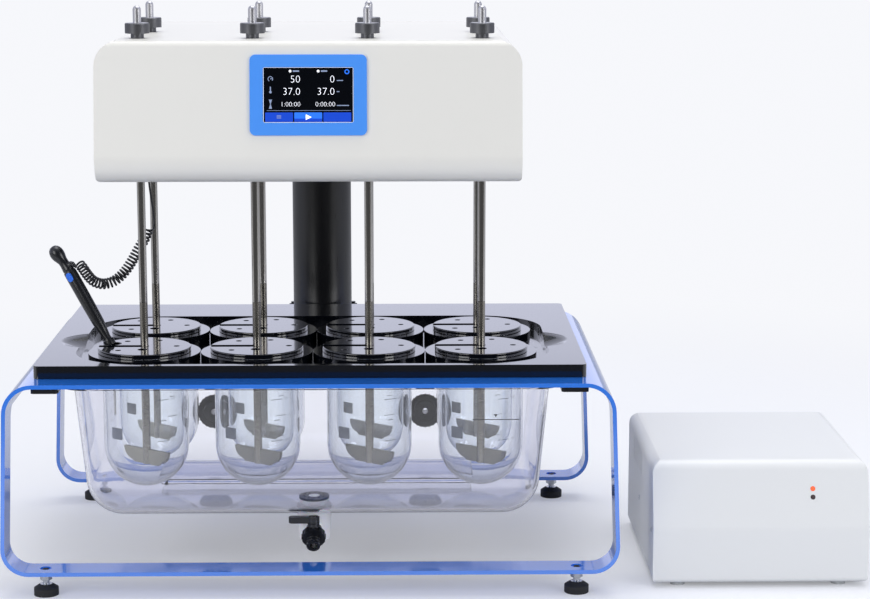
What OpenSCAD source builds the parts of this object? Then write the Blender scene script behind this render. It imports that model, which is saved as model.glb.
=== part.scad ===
// Eight position paddle dissolution tester with its water heater beside it.
// Millimetres, +Z up, +X to the right, the front faces -Y.
// The origin is on the bench, under the middle of the whole set. The modules are drawn about the middle of
// the stations, midway between the columns and rows of vessels, and on_bench() moves them to the origin.

/* [Stations] */
// Spacing of the vessels along a row
pitch_x = 140; // [132:1:146]
// Spacing of the two rows
pitch_y = 140; // [132:1:150]
// Height of the vessel plate above the frame's top sheet
plate_t = 16; // [12:1:24]
// Distance from the outer vessels' axes to the sides of the vessel plate
plate_side = 125; // [120:1:135]
// Depth of the vessel plate
plate_d = 422; // [400:1:430]
// Distance from the middle of the stations to the plate's front edge
plate_front = 162; // [158:1:168]

/* [Frame] */
// Thickness of the frame's sheet
sheet_t = 5; // [4:0.5:6]
// Height of the frame's bars above the bench
frame_z = 28; // [24:1:36]
// Height of the frame from its bars to its top sheet
frame_h = 237; // [225:1:260]
// Distance from the bath's sides to the frame's sides at its feet
frame_side = 85; // [80:1:98]
// How far each side of the frame leans in, from its foot to its shoulder
frame_lean = 6.5; // [0:0.5:12]
// Distance from the middle of the stations to the frame's front edge
frame_front = 197; // [185:1:215]
// Distance from the middle of the stations to the frame's rear edge
frame_back = 291; // [275:1:300]
// Depth of each strap leg
strap_d = 40; // [30:1:50]
// Radius of the shoulder bends
shoulder_r = 37; // [28:1:42]
// Radius of the lower bends
ankle_r = 33; // [26:1:42]

/* [Water bath] */
// Distance from the outer vessels' axes to the bath's sides, at its rim
bath_side = 80; // [76:1:83]
// Distance from the rows' axes to the bath's front and rear, on average, at its rim
bath_reach = 86; // [83:1:88]
// Height of the bath
bath_h = 175; // [165:1:185]
// Wall of the bath
bath_wall = 4; // [3:0.5:6]
// Draft of the bath's walls in degrees
bath_draft = 5; // [3:0.5:6]
// Radius of the bath's lower corners
bath_r = 38; // [30:1:44]

/* [Vessels] */
// Bore of a vessel
vessel_bore = 102; // [96:1:106]
// Wall of a vessel
vessel_wall = 2.2; // [1.8:0.1:3]
// Height of a vessel
vessel_h = 171; // [165:1:178]
// Diameter of a vessel's rim
vessel_rim_d = 113; // [112:0.5:116]

/* [Lids] */
// Diameter of a lid
lid_d = 116; // [115:0.5:124]
// Thickness of a lid
lid_t = 6; // [4:0.5:9]

/* [Paddles] */
// Diameter of a paddle's shaft
shaft_d = 10; // [9:0.1:11]
// Length of a blade's upper edge
blade_top = 75; // [70:0.5:78]
// Length of a blade's lower edge
blade_foot = 42; // [38:0.5:46]
// Height of a blade
blade_h = 19; // [17:0.5:21]
// Thickness of a blade
blade_t = 4; // [3:0.5:5]
// Height of the blades above the bottoms of the vessels
blade_gap = 25; // [22:0.5:28]
// Angle at which the blades stand in degrees
blade_turn = -37; // [-90:1:90]

/* [Drive head] */
// Gap between the vessel plate and the head
head_gap = 218.5; // [200:1:260]
// Distance from the outer shafts to the sides of the head
head_margin = 46; // [42:1:55]
// Height of the head
head_h = 170; // [160:1:190]
// Distance from the middle of the stations to the head's front
head_front = 150; // [140:1:160]
// Distance from the middle of the stations to the head's rear
head_back = 359; // [352:1:380]
// Lean of the head's face from its foot to its top
head_lean = 21; // [10:1:28]
// Wall of the head's cover
head_wall = 3; // [2:0.5:5]
// Height of the shaft tips above the head
tip_rise = 39.5; // [34:0.5:46]
// Lift of the head, for which the column is long enough
lift_travel = 200; // [180:1:210]

/* [Display] */
// Width of the bezel
bezel_w = 140; // [120:1:150]
// Height of the bezel
bezel_h = 96.5; // [86:0.5:104]
// Width of the screen
screen_w = 108.5; // [96:0.5:112]
// Height of the screen
screen_h = 66.5; // [58:0.5:72]
// Height of the bezel's middle above the head's lower edge
bezel_z = 106; // [98:1:112]

/* [Column] */
// Outside diameter of the lift column
column_d = 82; // [70:1:86]
// Wall of the lift column
column_wall = 4; // [3:0.5:6]
// Distance from the middle of the stations to the column's axis
column_y = 304; // [302:1:308]

/* [Probe] */
// Diameter of the probe's wand
wand_d = 15; // [13:0.5:17]
// Diameter of the probe's sensor rod
rod_d = 3; // [2.5:0.1:4]
// Diameter of the cord
cord_d = 2.6; // [2.2:0.1:2.8]
// Mean radius of the cord's curls
curl_r = 5.8; // [5.5:0.1:6.4]
// Number of curls
curls = 32; // [26:1:34]

/* [Heater] */
// Width of the heater's case
heater_w = 266; // [250:1:280]
// Depth of the heater's case
heater_d = 296; // [280:1:310]
// Height of the heater above the bench
heater_h = 156; // [148:1:170]
// Height at which the heater's face starts to lean
heater_fold = 70; // [62:1:78]
// Lean of the heater's upper face
heater_lean = 19; // [10:1:26]
// Gap between the frame and the heater
heater_apart = 44; // [35:1:85]
// Distance from the middle of the stations to the heater's face
heater_front = 166; // [150:1:180]

/* [Hidden] */
$fn = 64;

// Overrun of every cut, and the gaps between pieces
over = 1;
seat = 0.3;
running = 0.5;
hull_fn = 24;

// Stations: columns from left to right in the front row, then in the rear row
columns = 4;
function station(n) = [((n - 1) % columns - (columns - 1) / 2) * pitch_x, (n > columns ? 1 : -1) * pitch_y / 2];
span_x = (columns - 1) * pitch_x;
half_turn = 180;

// Widths and depths that follow the stations
plate_w = span_x + 2 * plate_side;
bath_w = span_x + 2 * bath_side;
bath_d = pitch_y + 2 * bath_reach;
frame_foot_w = bath_w + 2 * frame_side;
heater_x = frame_foot_w / 2 + heater_apart;

// Middle of the whole set, from the middle of the stations
mid_x = (heater_x + heater_w - frame_foot_w / 2) / 2;
mid_y = (head_back - frame_front) / 2;
module on_bench() {
    translate([-mid_x, -mid_y, 0]) children();
}

// Heights of the stack
frame_top = frame_z + frame_h;
deck_z = frame_top + plate_t;
head_z = deck_z + head_gap;
head_top = head_z + head_h;
tip_z = head_top + tip_rise;

// Frame
frame_d = frame_front + frame_back;
frame_top_w = frame_foot_w - 2 * frame_lean;
apron_drop = 34;
window_r = 14;
deck_hole_margin = 13;
deck_hole_r = 46;
tongue_w = 150;
tongue_r = 18;
foot_inset = 51;
stud_d = 8;
stud_clear = 0.8;
foot_hole_d = 14;
foot_hole_depth = 2.5;
foot_d = 30;
foot_pad_h = 9;
foot_cone_h = 5;
foot_neck_d = 15;
foot_hex_h = 9;
foot_stud_rise = 1;

// Rails and bath rim
rail_w = 33;
rail_h = 11;
rail_gap = 14;
rail_x = bath_w / 2 + rail_gap;
rail_front = 172;
rail_back = 210;
rail_r = 4;
bath_rim_t = 4;
rebate_d = 9;
bath_mid_y = 9;
bath_rim = 14;
rim_drop = 2;
bath_top = frame_top - sheet_t - rim_drop;
bath_top_r = 40;
bath_floor_z = bath_top - bath_h;
shelf_h = 8;
shelf_w = 404;
shelf_front = 48;

// Vessel plate
plate_r = 7;
well_margin_x = 22;
well_front = 10;
well_back = 28;
well_depth = 12;
well_r = 84;
ring_gap = 0.6;
ring_d = min(pitch_x, pitch_y) - ring_gap;
rim_t = 3;
bore_clear = 1.6;
scoop_r = 110;
scoop_depth = 13;
scoop_share = 0.925;

// Lids
lid_step_t = 5;
lid_step_clear = 2.4;
slot_w = 11.5;
port_d = 7;
port_r = 40;
thermo_d = 12;
thermo_r = 22;
notch_d = 21;
lid_edge = 0.8;

// Spindles
pulley_d = 44;
pulley_h = 14;
pulley_flange_d = 48;
pulley_flange_t = 2;
pulley_z = 62;
hub_d = 16;
hub_drop = 11;
cap_d = 30;
cap_h = 12.5;
cap_rise = 6;
cap_edge = 1;
joint_z = 62;
joint_gap = 0.4;
dome_share = 0.8;

// Chassis of the head
head_w = span_x + 2 * head_margin;
chassis_t = 5;
deck_t = 5;
upper_deck_z = 128;
bearing_d = 26;
bearing_h = 8;
bearing_bore_clear = 0.15;
boss_d = 34;
boss_h = 6;
post_d = 12;
post_inset = 9;
post_y = 100;
shaft_clear = 6;
belt_t = 2.4;
belt_w = 9;
belt_gap = 0.3;
motor_d = 56;
motor_h = 44;
motor_shaft_d = 8;
motor_shaft_clear = 2;
yoke_w = 120;
gland_d = 14;

// Column
column_drop = 26;
column_in_head = 100;
flange_d = 112;
flange_t = 10;
flange_stud_d = 6;
flange_stud_rise = 8;
flange_nut_d = 11;
flange_nut_h = 5;
flange_stud_angles = [-28, 28, 152, 208];
lift_wall = 3;
lift_gap = 1;
lift_foot = 60;
actuator_foot_h = 40;
actuator_d = 34;
actuator_wall = 3;
actuator_gap = 12;
rod_out_d = 16;
guide_h = 10;

// Cover of the head
head_curl_r = 30;
head_rear_foot_r = 8;
head_rear_top_r = 20;
head_brow_r = 9;
head_corner_r = 30;
head_heel_r = 6;
lip = 30;
cover_hole_clear = 4;

// Display
bezel_proud = 3;
bezel_corner_r = 7;
screen_corner_r = 3;
screen_sunk = 1;
module_clear = 6;
module_t = 18;

// Probe: the wand's foot stands on the rim of the first vessel
wand_foot_x = -45;
wand_foot_y = 18;
wand_foot_z = 6.6;
wand_foot = [wand_foot_x, wand_foot_y, wand_foot_z];
wand_lean_x = -62;
wand_lean_y = 22;
wand_rise = 108;
wand_lean = [wand_lean_x, wand_lean_y, wand_rise];
socket_d = 7;
socket_l = 9;
collar_d = 17;
collar_h = 7;
wand_taper_h = 26;
neck_d = 10;
button_l = 12;
button_w = 7.5;
button_rise = 1.6;
button_sink = 1.4;
button_travel = 1;
button_share = 0.76;
rod_len = 92;
rod_side = 4;

// Route of the cord from the wand's top up to the head, chosen by hand
cord_path = [[-303, -35, 385], [-300, -36, 387], [-295, -36, 387], [-290, -33, 381], [-285, -27, 371],
    [-278, -19, 361], [-267, -10, 356], [-254, -4, 359], [-242, -1, 369], [-232, 0, 383], [-223, 0, 399],
    [-214, 0, 414], [-209, 0, 430], [-208, 0, 446], [-208, 0, 470], [-208, 0, 493.5]];
cord_last = len(cord_path) - 1;
curl_start = 2.3;
curl_end = 11.7;
curl_ease = 0.5;
cord_sides = 6;
rings_per_curl = 8;
tail_rings = 6;

// Heater
heater_wall = 2;
heater_gap = 6;
heater_edge_r = 16;
heater_foot_r = 6;
heater_brow_r = 16;
heater_back_r = 12;
heater_fold_r = 30;
heater_pad_d = 18;
heater_pad_inset_x = 33;
heater_pad_inset_y = 20;
heater_floor_t = 3;
lamp_d = 6;
lamp_z = [112, 122];
lamp_x = 197;
lamp_t = 5;
lamp_proud = 1;
vent_count = 10;
vent_w = 2.4;
vent_pitch = 10;
vent_h = 30;
vent_z = 124;
vent_y = -28;
tank_d = 84;
tank_h = 92;
tank_y = 60;
pump_l = 70;
pump_d = 52;
tail_d = 12;
tail_bore = 8;
tail_pipe_d = 11;
tail_l = 24;
// Places of the tails along X, from the middle of the case
tail_x = [-41, 17];
tail_z = 52;

// Bath ports and drain
port_z = 152;
port_x = 143;
port_disc_d = 45;
port_disc_t = 5;
port_step_d = 30;
port_step_t = 3;
port_body_d = 22;
port_hole_clear = 1;
port_nut_d = 36;
port_nut_t = 8;
port_tail_d = 14;
port_tail_l = 34;
port_bore = 8;
drain_inset = 70;
drain_y = bath_mid_y - bath_d / 2 + drain_inset;
drain_boss_d = 44;
drain_boss_foot_d = 39;
drain_boss_h = 40.8;
drain_collar_d = 36;
drain_collar_h = 5;
drain_thread_d = 26;
drain_bore = 14;
strainer_d = 38;
strainer_t = 3;
strainer_hole_d = 3;
strainer_ring_d = 26;
strainer_holes = 12;
nozzle_tilt = 28;
nozzle_reach = 47;
nozzle_drop = 39.8;
nozzle_d = 17;
nozzle_l = 13;
nozzle_bore = 10;
nozzle_wall = (nozzle_d - nozzle_bore) / 2;
nozzle_nut_d = 29;
nozzle_nut_h = 9;
nozzle_pipe_d = 20;
lever_y = 31;
lever_drop = 13.8;
lever_l = 26;
lever_w = 10;
lever_t = 8;
lever_hub_d = 15;
stem_d = 7;
stem_l = 8;

// Shapes that repeat

// Rounded rectangle of width w, depth d and corner radius r
module rrect(w, d, r) {
    square([w - 2 * r, d], center = true);
    square([w, d - 2 * r], center = true);
    for (x = [-1, 1], y = [-1, 1])
        translate([x * (w / 2 - r), y * (d / 2 - r)]) circle(r = r);
}

// Rounded block whose foot is at z = 0
module rblock(w, d, h, r) {
    linear_extrude(height = h) rrect(w, d, r);
}

// Angle of the outer normal on the tangent from disc a to disc b, for discs [x, y, r] listed anticlockwise
function edge_normal(a, b) = atan2(b[1] - a[1], b[0] - a[0]) - 90
    + asin((a[2] - b[2]) / norm([b[0] - a[0], b[1] - a[1]]));
function on_disc(c, angle, inset) = [c[0] + (c[2] - inset) * cos(angle), c[1] + (c[2] - inset) * sin(angle)];

// Outline round a ring of discs, drawn in by an inset
module disc_outline(discs, inset = 0) {
    count = len(discs);
    polygon([for (i = [0 : count - 1]) let (a = discs[i], b = discs[(i + 1) % count], n = edge_normal(a, b))
        each [on_disc(a, n, inset), on_disc(b, n, inset)]]);
    for (c = discs) translate([c[0], c[1]]) circle(r = c[2] - inset);
}

// Extrusion along X of an outline drawn in (y, z)
module along_x(w) {
    rotate([90, 0, 90]) translate([0, 0, -w / 2]) linear_extrude(height = w) children();
}

// Extrusion along Y, from y0 to y1, of an outline drawn in (x, z)
module along_y(y0, y1) {
    translate([0, y1, 0]) rotate([90, 0, 0]) linear_extrude(height = y1 - y0) children();
}

module tube(d, bore, h) {
    difference() {
        cylinder(d = d, h = h);
        translate([0, 0, -over]) cylinder(d = bore, h = h + 2 * over);
    }
}

module at_station(n) {
    translate([station(n)[0], station(n)[1], 0]) children();
}

// Frame

frame_discs = [[-(frame_foot_w / 2 - ankle_r), ankle_r, ankle_r],
    [frame_foot_w / 2 - ankle_r, ankle_r, ankle_r],
    [frame_top_w / 2 - shoulder_r, frame_h - shoulder_r, shoulder_r],
    [-(frame_top_w / 2 - shoulder_r), frame_h - shoulder_r, shoulder_r]];
foot_x = frame_foot_w / 2 - foot_inset;
foot_places = [[-foot_x, -frame_front + strap_d / 2], [foot_x, -frame_front + strap_d / 2],
    [foot_x, frame_back - strap_d / 2], [-foot_x, frame_back - strap_d / 2]];
tongue_back = column_y + column_d / 2 + tongue_r / 4;
deck_hole_w = bath_w - 2 * deck_hole_margin;
deck_hole_d = bath_d - 2 * deck_hole_margin;

module frame_stand() color("#2f7fe8") {
    difference() {
        union() {
            along_y(-frame_front, frame_back) difference() {
                translate([0, frame_z]) disc_outline(frame_discs);
                translate([0, frame_z]) disc_outline(frame_discs, sheet_t);
            }
            translate([0, (tongue_back + column_y - column_d) / 2, frame_top - sheet_t])
                rblock(tongue_w, tongue_back - column_y + column_d, sheet_t, tongue_r);
        }
        // Space between the front and rear legs
        translate([0, (frame_back - frame_front) / 2, frame_z - over]) along_x(frame_foot_w + 2 * over)
            translate([0, (frame_h - apron_drop + over) / 2])
                rrect(frame_d - 2 * strap_d, frame_h - apron_drop + over, window_r);
        // Lower ends of the same space, square where the bars are
        translate([-frame_foot_w / 2 - over, -frame_front + strap_d, frame_z - over])
            cube([frame_foot_w + 2 * over, frame_d - 2 * strap_d, ankle_r + over]);
        // Opening for the bath and vessels
        translate([0, bath_mid_y, frame_top - sheet_t - over])
            rblock(deck_hole_w, deck_hole_d, sheet_t + 2 * over, deck_hole_r);
        // Hole for the column
        translate([0, column_y, frame_top - sheet_t - over])
            cylinder(d = column_d + 2 * seat, h = sheet_t + 2 * over);
        for (p = foot_places) translate([p[0], p[1], frame_z]) {
            translate([0, 0, -over]) cylinder(d = stud_d + stud_clear, h = sheet_t + 2 * over);
            translate([0, 0, sheet_t - foot_hole_depth]) cylinder(d = foot_hole_d, h = foot_hole_depth + over);
        }
        // Holes for the studs of the column's flange
        at_flange_studs(frame_top - sheet_t - over) cylinder(d = flange_stud_d + over, h = sheet_t + 2 * over);
    }
}

// Places of the studs that hold the column's flange under the top sheet
module at_flange_studs(z) {
    for (a = flange_stud_angles) translate([(column_d + flange_d) / 4 * cos(a),
        column_y + (column_d + flange_d) / 4 * sin(a), z]) children();
}

module levelling_foot(n) {
    p = foot_places[n - 1];
    neck_z = frame_z - foot_hex_h;
    translate([p[0], p[1], 0]) {
        color("#1c1d20") cylinder(d = foot_d, h = foot_pad_h);
        color("#1c1d20") translate([0, 0, foot_pad_h])
            cylinder(d1 = foot_d, d2 = foot_neck_d, h = foot_cone_h);
        color("#c9ccd0") translate([0, 0, foot_pad_h]) cylinder(d = stud_d, h = frame_z - foot_pad_h
            + sheet_t - foot_hole_depth + foot_stud_rise);
        color("#c9ccd0") translate([0, 0, neck_z]) cylinder(d = foot_neck_d, h = foot_hex_h - seat, $fn = 6);
    }
}

// Bath and its rails

rail_z = frame_top - sheet_t - rail_h;
rim_w = 2 * rail_x + 2 * rebate_d - 2 * seat;
rim_d = bath_d + 2 * bath_rim;

module bath_rails() color("#16181c") {
    for (x = [-1, 1]) difference() {
        // The outer upper edge follows the bend of the sheet
        intersection() {
            translate([x * (rail_x + rail_w / 2), (rail_back - rail_front) / 2, rail_z])
                rblock(rail_w, rail_front + rail_back, rail_h, rail_r);
            along_y(-rail_front - over, rail_back + over) translate([0, frame_z])
                disc_outline(frame_discs, sheet_t + seat);
        }
        // Rebate in which the bath's rim lies, open at the front so that the bath slides out
        translate([x * (rail_x + rebate_d / 2 - over / 2) - (rebate_d + over) / 2, -rail_front - over,
            bath_top - bath_rim_t - seat])
            cube([rebate_d + over, rail_front + bath_mid_y + rim_d / 2 + seat + over, rail_h]);
    }
}

// One wall surface of the bath, drawn in by an inset
module bath_body(inset) {
    low = bath_floor_z + bath_r;
    fall = (bath_top - low) * tan(bath_draft);
    cx = bath_w / 2 - fall - bath_r / cos(bath_draft);
    cy = bath_d / 2 - fall - bath_r / cos(bath_draft);
    side = inset / cos(bath_draft);
    translate([0, bath_mid_y, 0]) hull() {
        translate([0, 0, bath_top - (inset > 0 ? 0 : over)])
            linear_extrude(height = over)
                rrect(bath_w - 2 * side, bath_d - 2 * side, bath_top_r - side, $fn = hull_fn);
        for (x = [-1, 1], y = [-1, 1])
            translate([x * cx, y * cy, low]) sphere(r = bath_r - inset, $fn = hull_fn);
    }
}

wall_fall = (bath_top - port_z) * tan(bath_draft);
port_y = bath_mid_y + bath_d / 2 - wall_fall;
drain_z = bath_floor_z;
strainer_z = drain_z + bath_wall + 2 * seat + drain_collar_h;

module water_bath() color("#dfe8f2", 0.4) {
    difference() {
        union() {
            bath_body(0);
            translate([0, bath_mid_y, bath_top - bath_rim_t]) rblock(rim_w, rim_d, bath_rim_t, bath_top_r);
        }
        difference() {
            bath_body(bath_wall);
            // Raised floor behind the front sump
            translate([-shelf_w / 2, -shelf_front, bath_floor_z])
                cube([shelf_w, bath_d, bath_wall + shelf_h]);
        }
        for (x = [-1, 1]) port_frame(x) translate([0, 0, -bath_wall * 2])
            cylinder(d = port_body_d + port_hole_clear, h = bath_wall * 4);
        translate([0, drain_y, bath_floor_z - over])
            cylinder(d = drain_thread_d + port_hole_clear, h = bath_wall + 2 * over);
    }
}

// Frame of a bath port: its Z runs out of the rear wall, square to it, from the wall's outer face
module port_frame(side) {
    translate([side * port_x, port_y, port_z]) rotate([-90 - bath_draft, 0, 0]) children();
}

module bath_ports() color("#23262b") {
    for (x = [-1, 1]) port_frame(x) difference() {
        union() {
            translate([0, 0, -bath_wall - port_disc_t - seat]) cylinder(d = port_disc_d, h = port_disc_t);
            translate([0, 0, -bath_wall - port_disc_t - port_step_t - seat])
                cylinder(d = port_step_d, h = port_step_t + over);
            translate([0, 0, -bath_wall - port_disc_t]) cylinder(d = port_body_d, h = bath_wall + port_disc_t
                + port_nut_t);
            translate([0, 0, seat]) cylinder(d = port_nut_d, h = port_nut_t, $fn = 6);
            cylinder(d = port_tail_d, h = port_tail_l);
        }
        translate([0, 0, -bath_wall - port_disc_t - port_step_t - over])
            cylinder(d = port_bore, h = port_tail_l + bath_wall + port_disc_t + port_step_t + 2 * over);
    }
}

// Frame of the drain's outlet: its Z runs along the nozzle, from the tip inwards
nozzle_z = drain_z - nozzle_drop;
nozzle_run = nozzle_reach / cos(nozzle_tilt);
module nozzle_frame() {
    translate([0, drain_y - nozzle_reach, nozzle_z]) rotate([nozzle_tilt - 90, 0, 0]) children();
}

lever_z = drain_z - lever_drop;

module drain_passages() {
    nozzle_frame() translate([0, 0, -over]) cylinder(d = nozzle_bore, h = nozzle_run + over);
    translate([0, drain_y, nozzle_z + nozzle_run * sin(nozzle_tilt) - drain_bore / 2])
        cylinder(d = drain_bore, h = drain_boss_h);
    // Bore for the lever's stem
    translate([0, drain_y - lever_y, lever_z - stem_l - seat])
        cylinder(d = stem_d + 2 * seat, h = lever_drop + stem_l);
}

module drain_valve() {
    boss_z = drain_z - seat - drain_boss_h;
    color("#c3c7d2") difference() {
        union() {
            translate([0, drain_y, boss_z])
                cylinder(d1 = drain_boss_foot_d, d2 = drain_boss_d, h = drain_boss_h);
            translate([0, drain_y, drain_z - over])
                cylinder(d = drain_thread_d, h = strainer_z - drain_z + 2 * over);
            translate([0, drain_y, strainer_z - drain_collar_h])
                cylinder(d = drain_collar_d, h = drain_collar_h + over);
        }
        drain_passages();
    }
    color("#17191d") difference() {
        union() {
            // Strainer inside the bath
            translate([0, drain_y, strainer_z]) cylinder(d = strainer_d, h = strainer_t);
            nozzle_frame() {
                cylinder(d = nozzle_d, h = nozzle_l + over);
                translate([0, 0, nozzle_l]) cylinder(d = nozzle_nut_d, h = nozzle_nut_h);
                translate([0, 0, nozzle_l]) cylinder(d = nozzle_pipe_d, h = nozzle_nut_h + nozzle_pipe_d / 2);
            }
            // Neck that carries the lever's stem
            translate([0, drain_y - lever_y, lever_z - seat - stem_l - nozzle_wall])
                cylinder(d = lever_hub_d, h = stem_l + nozzle_wall);
        }
        drain_passages();
        for (i = [1 : strainer_holes]) let (a = i * 2 * half_turn / strainer_holes)
            translate([strainer_ring_d / 2 * cos(a), drain_y + strainer_ring_d / 2 * sin(a),
                strainer_z - strainer_hole_d]) cylinder(d = strainer_hole_d, h = strainer_t + 2 * strainer_hole_d);
    }
}

module drain_lever() color("#17191d") {
    translate([0, drain_y - lever_y, lever_z]) {
        cylinder(d = lever_hub_d, h = lever_t);
        translate([-lever_l, -lever_w / 2, 0]) cube([lever_l, lever_w, lever_t]);
        translate([-lever_l, 0, 0]) cylinder(d = lever_w, h = lever_t);
        translate([0, 0, seat - stem_l]) cylinder(d = stem_d, h = stem_l);
    }
}

// Vessel plate

plate_mid_y = plate_d / 2 - plate_front;
well_w = plate_w - 2 * well_margin_x - 2 * well_back + 2 * well_front;
well_d = plate_front - well_front + pitch_y + well_back;

module vessel_plate() color("#14161c") {
    well_mid = well_d / 2 - plate_front + well_front;
    difference() {
        union() {
            difference() {
                translate([0, plate_mid_y, frame_top + seat]) rblock(plate_w, plate_d, plate_t - seat, plate_r);
                translate([0, well_mid, deck_z - well_depth])
                    rblock(well_w, well_d, well_depth + over, well_r);
                for (x = [-1, 1]) translate([x * well_w / 2 * scoop_share, 0, deck_z + scoop_r - scoop_depth])
                    sphere(r = scoop_r);
            }
            for (n = [1 : 2 * columns]) at_station(n) translate([0, 0, frame_top + seat])
                cylinder(d = ring_d, h = plate_t - seat);
        }
        for (n = [1 : 2 * columns]) at_station(n) {
            translate([0, 0, frame_top - over])
                cylinder(d = vessel_bore + 2 * vessel_wall + bore_clear, h = plate_t + 2 * over);
            translate([0, 0, deck_z - rim_t - seat]) cylinder(d = vessel_rim_d + 2 * seat, h = plate_t);
        }
    }
}

// Vessels and lids

vessel_d = vessel_bore + 2 * vessel_wall;
vessel_z = deck_z - vessel_h;
bowl_z = vessel_z + vessel_d / 2;

module vessel(n) color("#eef4fa", 0.35) {
    at_station(n) difference() {
        union() {
            translate([0, 0, bowl_z]) sphere(d = vessel_d);
            translate([0, 0, bowl_z]) cylinder(d = vessel_d, h = deck_z - bowl_z);
            translate([0, 0, deck_z - rim_t]) cylinder(d = vessel_rim_d, h = rim_t);
        }
        translate([0, 0, bowl_z]) sphere(d = vessel_bore);
        translate([0, 0, bowl_z]) cylinder(d = vessel_bore, h = vessel_h);
    }
}

lid_ports = [[0, port_r, port_d], [68, port_r, port_d], [128, port_r, port_d], [222, port_r, port_d],
    [-90, thermo_r, thermo_d]];

module lid(n) color("#15171c") {
    z = deck_z + seat;
    at_station(n) difference() {
        union() {
            translate([0, 0, z]) cylinder(d = lid_d, h = lid_t - lid_edge);
            translate([0, 0, z + lid_t - lid_edge])
                cylinder(d1 = lid_d, d2 = lid_d - 2 * lid_edge, h = lid_edge);
            translate([0, 0, z - lid_step_t]) cylinder(d = vessel_bore - lid_step_clear, h = lid_step_t + over);
        }
        translate([0, 0, z - lid_step_t - over]) {
            cylinder(d = slot_w, h = lid_t + lid_step_t + 2 * over);
            translate([-lid_d, -slot_w / 2, 0]) cube([lid_d, slot_w, lid_t + lid_step_t + 2 * over]);
            for (p = lid_ports) translate([p[1] * cos(p[0]), p[1] * sin(p[0]), 0])
                cylinder(d = p[2], h = lid_t + lid_step_t + 2 * over);
            // Notch in the first lid, open to the edge, round the probe's foot
            if (n == 1) rotate([0, 0, atan2(wand_foot[1], wand_foot[0])])
                translate([norm([wand_foot[0], wand_foot[1]]) - collar_d / 4, 0, 0]) {
                    cylinder(d = notch_d, h = lid_t + lid_step_t + 2 * over);
                    translate([0, -notch_d / 2, 0]) cube([lid_d, notch_d, lid_t + lid_step_t + 2 * over]);
                }
        }
    }
}

// Paddles and spindles

blade_z = vessel_z + vessel_wall + blade_gap;
shaft_joint_z = deck_z + joint_z;

// Blade outline: level edges joined by arcs about the middle of the upper edge
module blade_outline() {
    arc_r = norm([blade_top / 2 - blade_foot / 2, blade_h]);
    intersection() {
        translate([-blade_top / 2, 0]) square([blade_top, blade_h]);
        polygon([[-blade_foot / 2, 0], [blade_foot / 2, 0],
            [blade_top / 2, blade_h], [-blade_top / 2, blade_h]]);
    }
    for (x = [-1, 1]) intersection() {
        translate([x * blade_foot / 2, blade_h]) circle(r = blade_top / 2 - blade_foot / 2);
        translate([x > 0 ? blade_foot / 2 : -arc_r - blade_foot / 2, 0]) square([arc_r, blade_h]);
    }
}

module paddle(n) color("#8d8a85") {
    at_station(n) {
        translate([0, 0, blade_z]) cylinder(d = shaft_d, h = shaft_joint_z - blade_z);
        rotate([0, 0, blade_turn]) translate([0, blade_t / 2, blade_z]) rotate([90, 0, 0])
            linear_extrude(height = blade_t) blade_outline();
    }
}

cap_z = head_top + cap_rise;

module spindle(n) {
    at_station(n) {
        color("#a9a6a0") {
            translate([0, 0, shaft_joint_z + joint_gap])
                cylinder(d = shaft_d, h = tip_z - shaft_joint_z - joint_gap - shaft_d / 2 * dome_share);
            translate([0, 0, tip_z - shaft_d / 2 * dome_share]) intersection() {
                translate([0, 0, -shaft_d / 2 * (1 - dome_share)]) sphere(d = shaft_d);
                cylinder(d = shaft_d, h = shaft_d);
            }
        }
        color("#3c3e42") {
            translate([0, 0, cap_z]) cylinder(d = cap_d, h = cap_h - cap_edge);
            translate([0, 0, cap_z + cap_h - cap_edge])
                cylinder(d1 = cap_d, d2 = cap_d - 2 * cap_edge, h = cap_edge);
            translate([0, 0, head_top - hub_drop])
                cylinder(d = hub_d, h = cap_z - head_top + hub_drop + over);
            pulley(head_z + pulley_z);
        }
    }
}

// Flanged pulley whose foot is at height z
module pulley(z) {
    translate([0, 0, z]) {
        cylinder(d = pulley_d, h = pulley_h);
        cylinder(d = pulley_flange_d, h = pulley_flange_t);
        translate([0, 0, pulley_h - pulley_flange_t]) cylinder(d = pulley_flange_d, h = pulley_flange_t);
    }
}

// Head

// Side outline of the head, discs in (y, z) from the front foot round to the brow
head_discs = [[-head_front + head_curl_r, head_z + head_curl_r, head_curl_r],
    [head_back - head_rear_foot_r, head_z + head_rear_foot_r, head_rear_foot_r],
    [head_back - head_rear_top_r, head_top - head_rear_top_r, head_rear_top_r],
    [-head_front + head_lean + head_brow_r, head_top - head_brow_r, head_brow_r]];
// Front outline of the head, discs in (x, z)
head_front_discs = [[-(head_w / 2 - head_heel_r), head_z + head_heel_r, head_heel_r],
    [head_w / 2 - head_heel_r, head_z + head_heel_r, head_heel_r],
    [head_w / 2 - head_corner_r, head_top - head_corner_r, head_corner_r],
    [-(head_w / 2 - head_corner_r), head_top - head_corner_r, head_corner_r]];
face_normal = edge_normal(head_discs[3], head_discs[0]);
face_tilt = half_turn - (face_normal < 0 ? face_normal + 2 * half_turn : face_normal);
face_foot = on_disc(head_discs[0], face_normal, 0);

// Frame of the head's face at height h above the head's foot: local -Y runs out of the face
module face_frame(h) {
    rise = h - (face_foot[1] - head_z);
    translate([0, face_foot[0] + rise * tan(face_tilt), head_z + h]) rotate([-face_tilt, 0, 0]) children();
}

module head_body(inset) {
    intersection() {
        along_x(head_w + 2 * over) disc_outline(head_discs, inset);
        along_y(-head_front - over, head_back + over) disc_outline(head_front_discs, inset);
    }
}

chassis_front = head_front - lip;
chassis_back = head_back - lip / 4;
chassis_w = head_w - lip;
post_x = chassis_w / 2 - post_inset;

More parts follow.
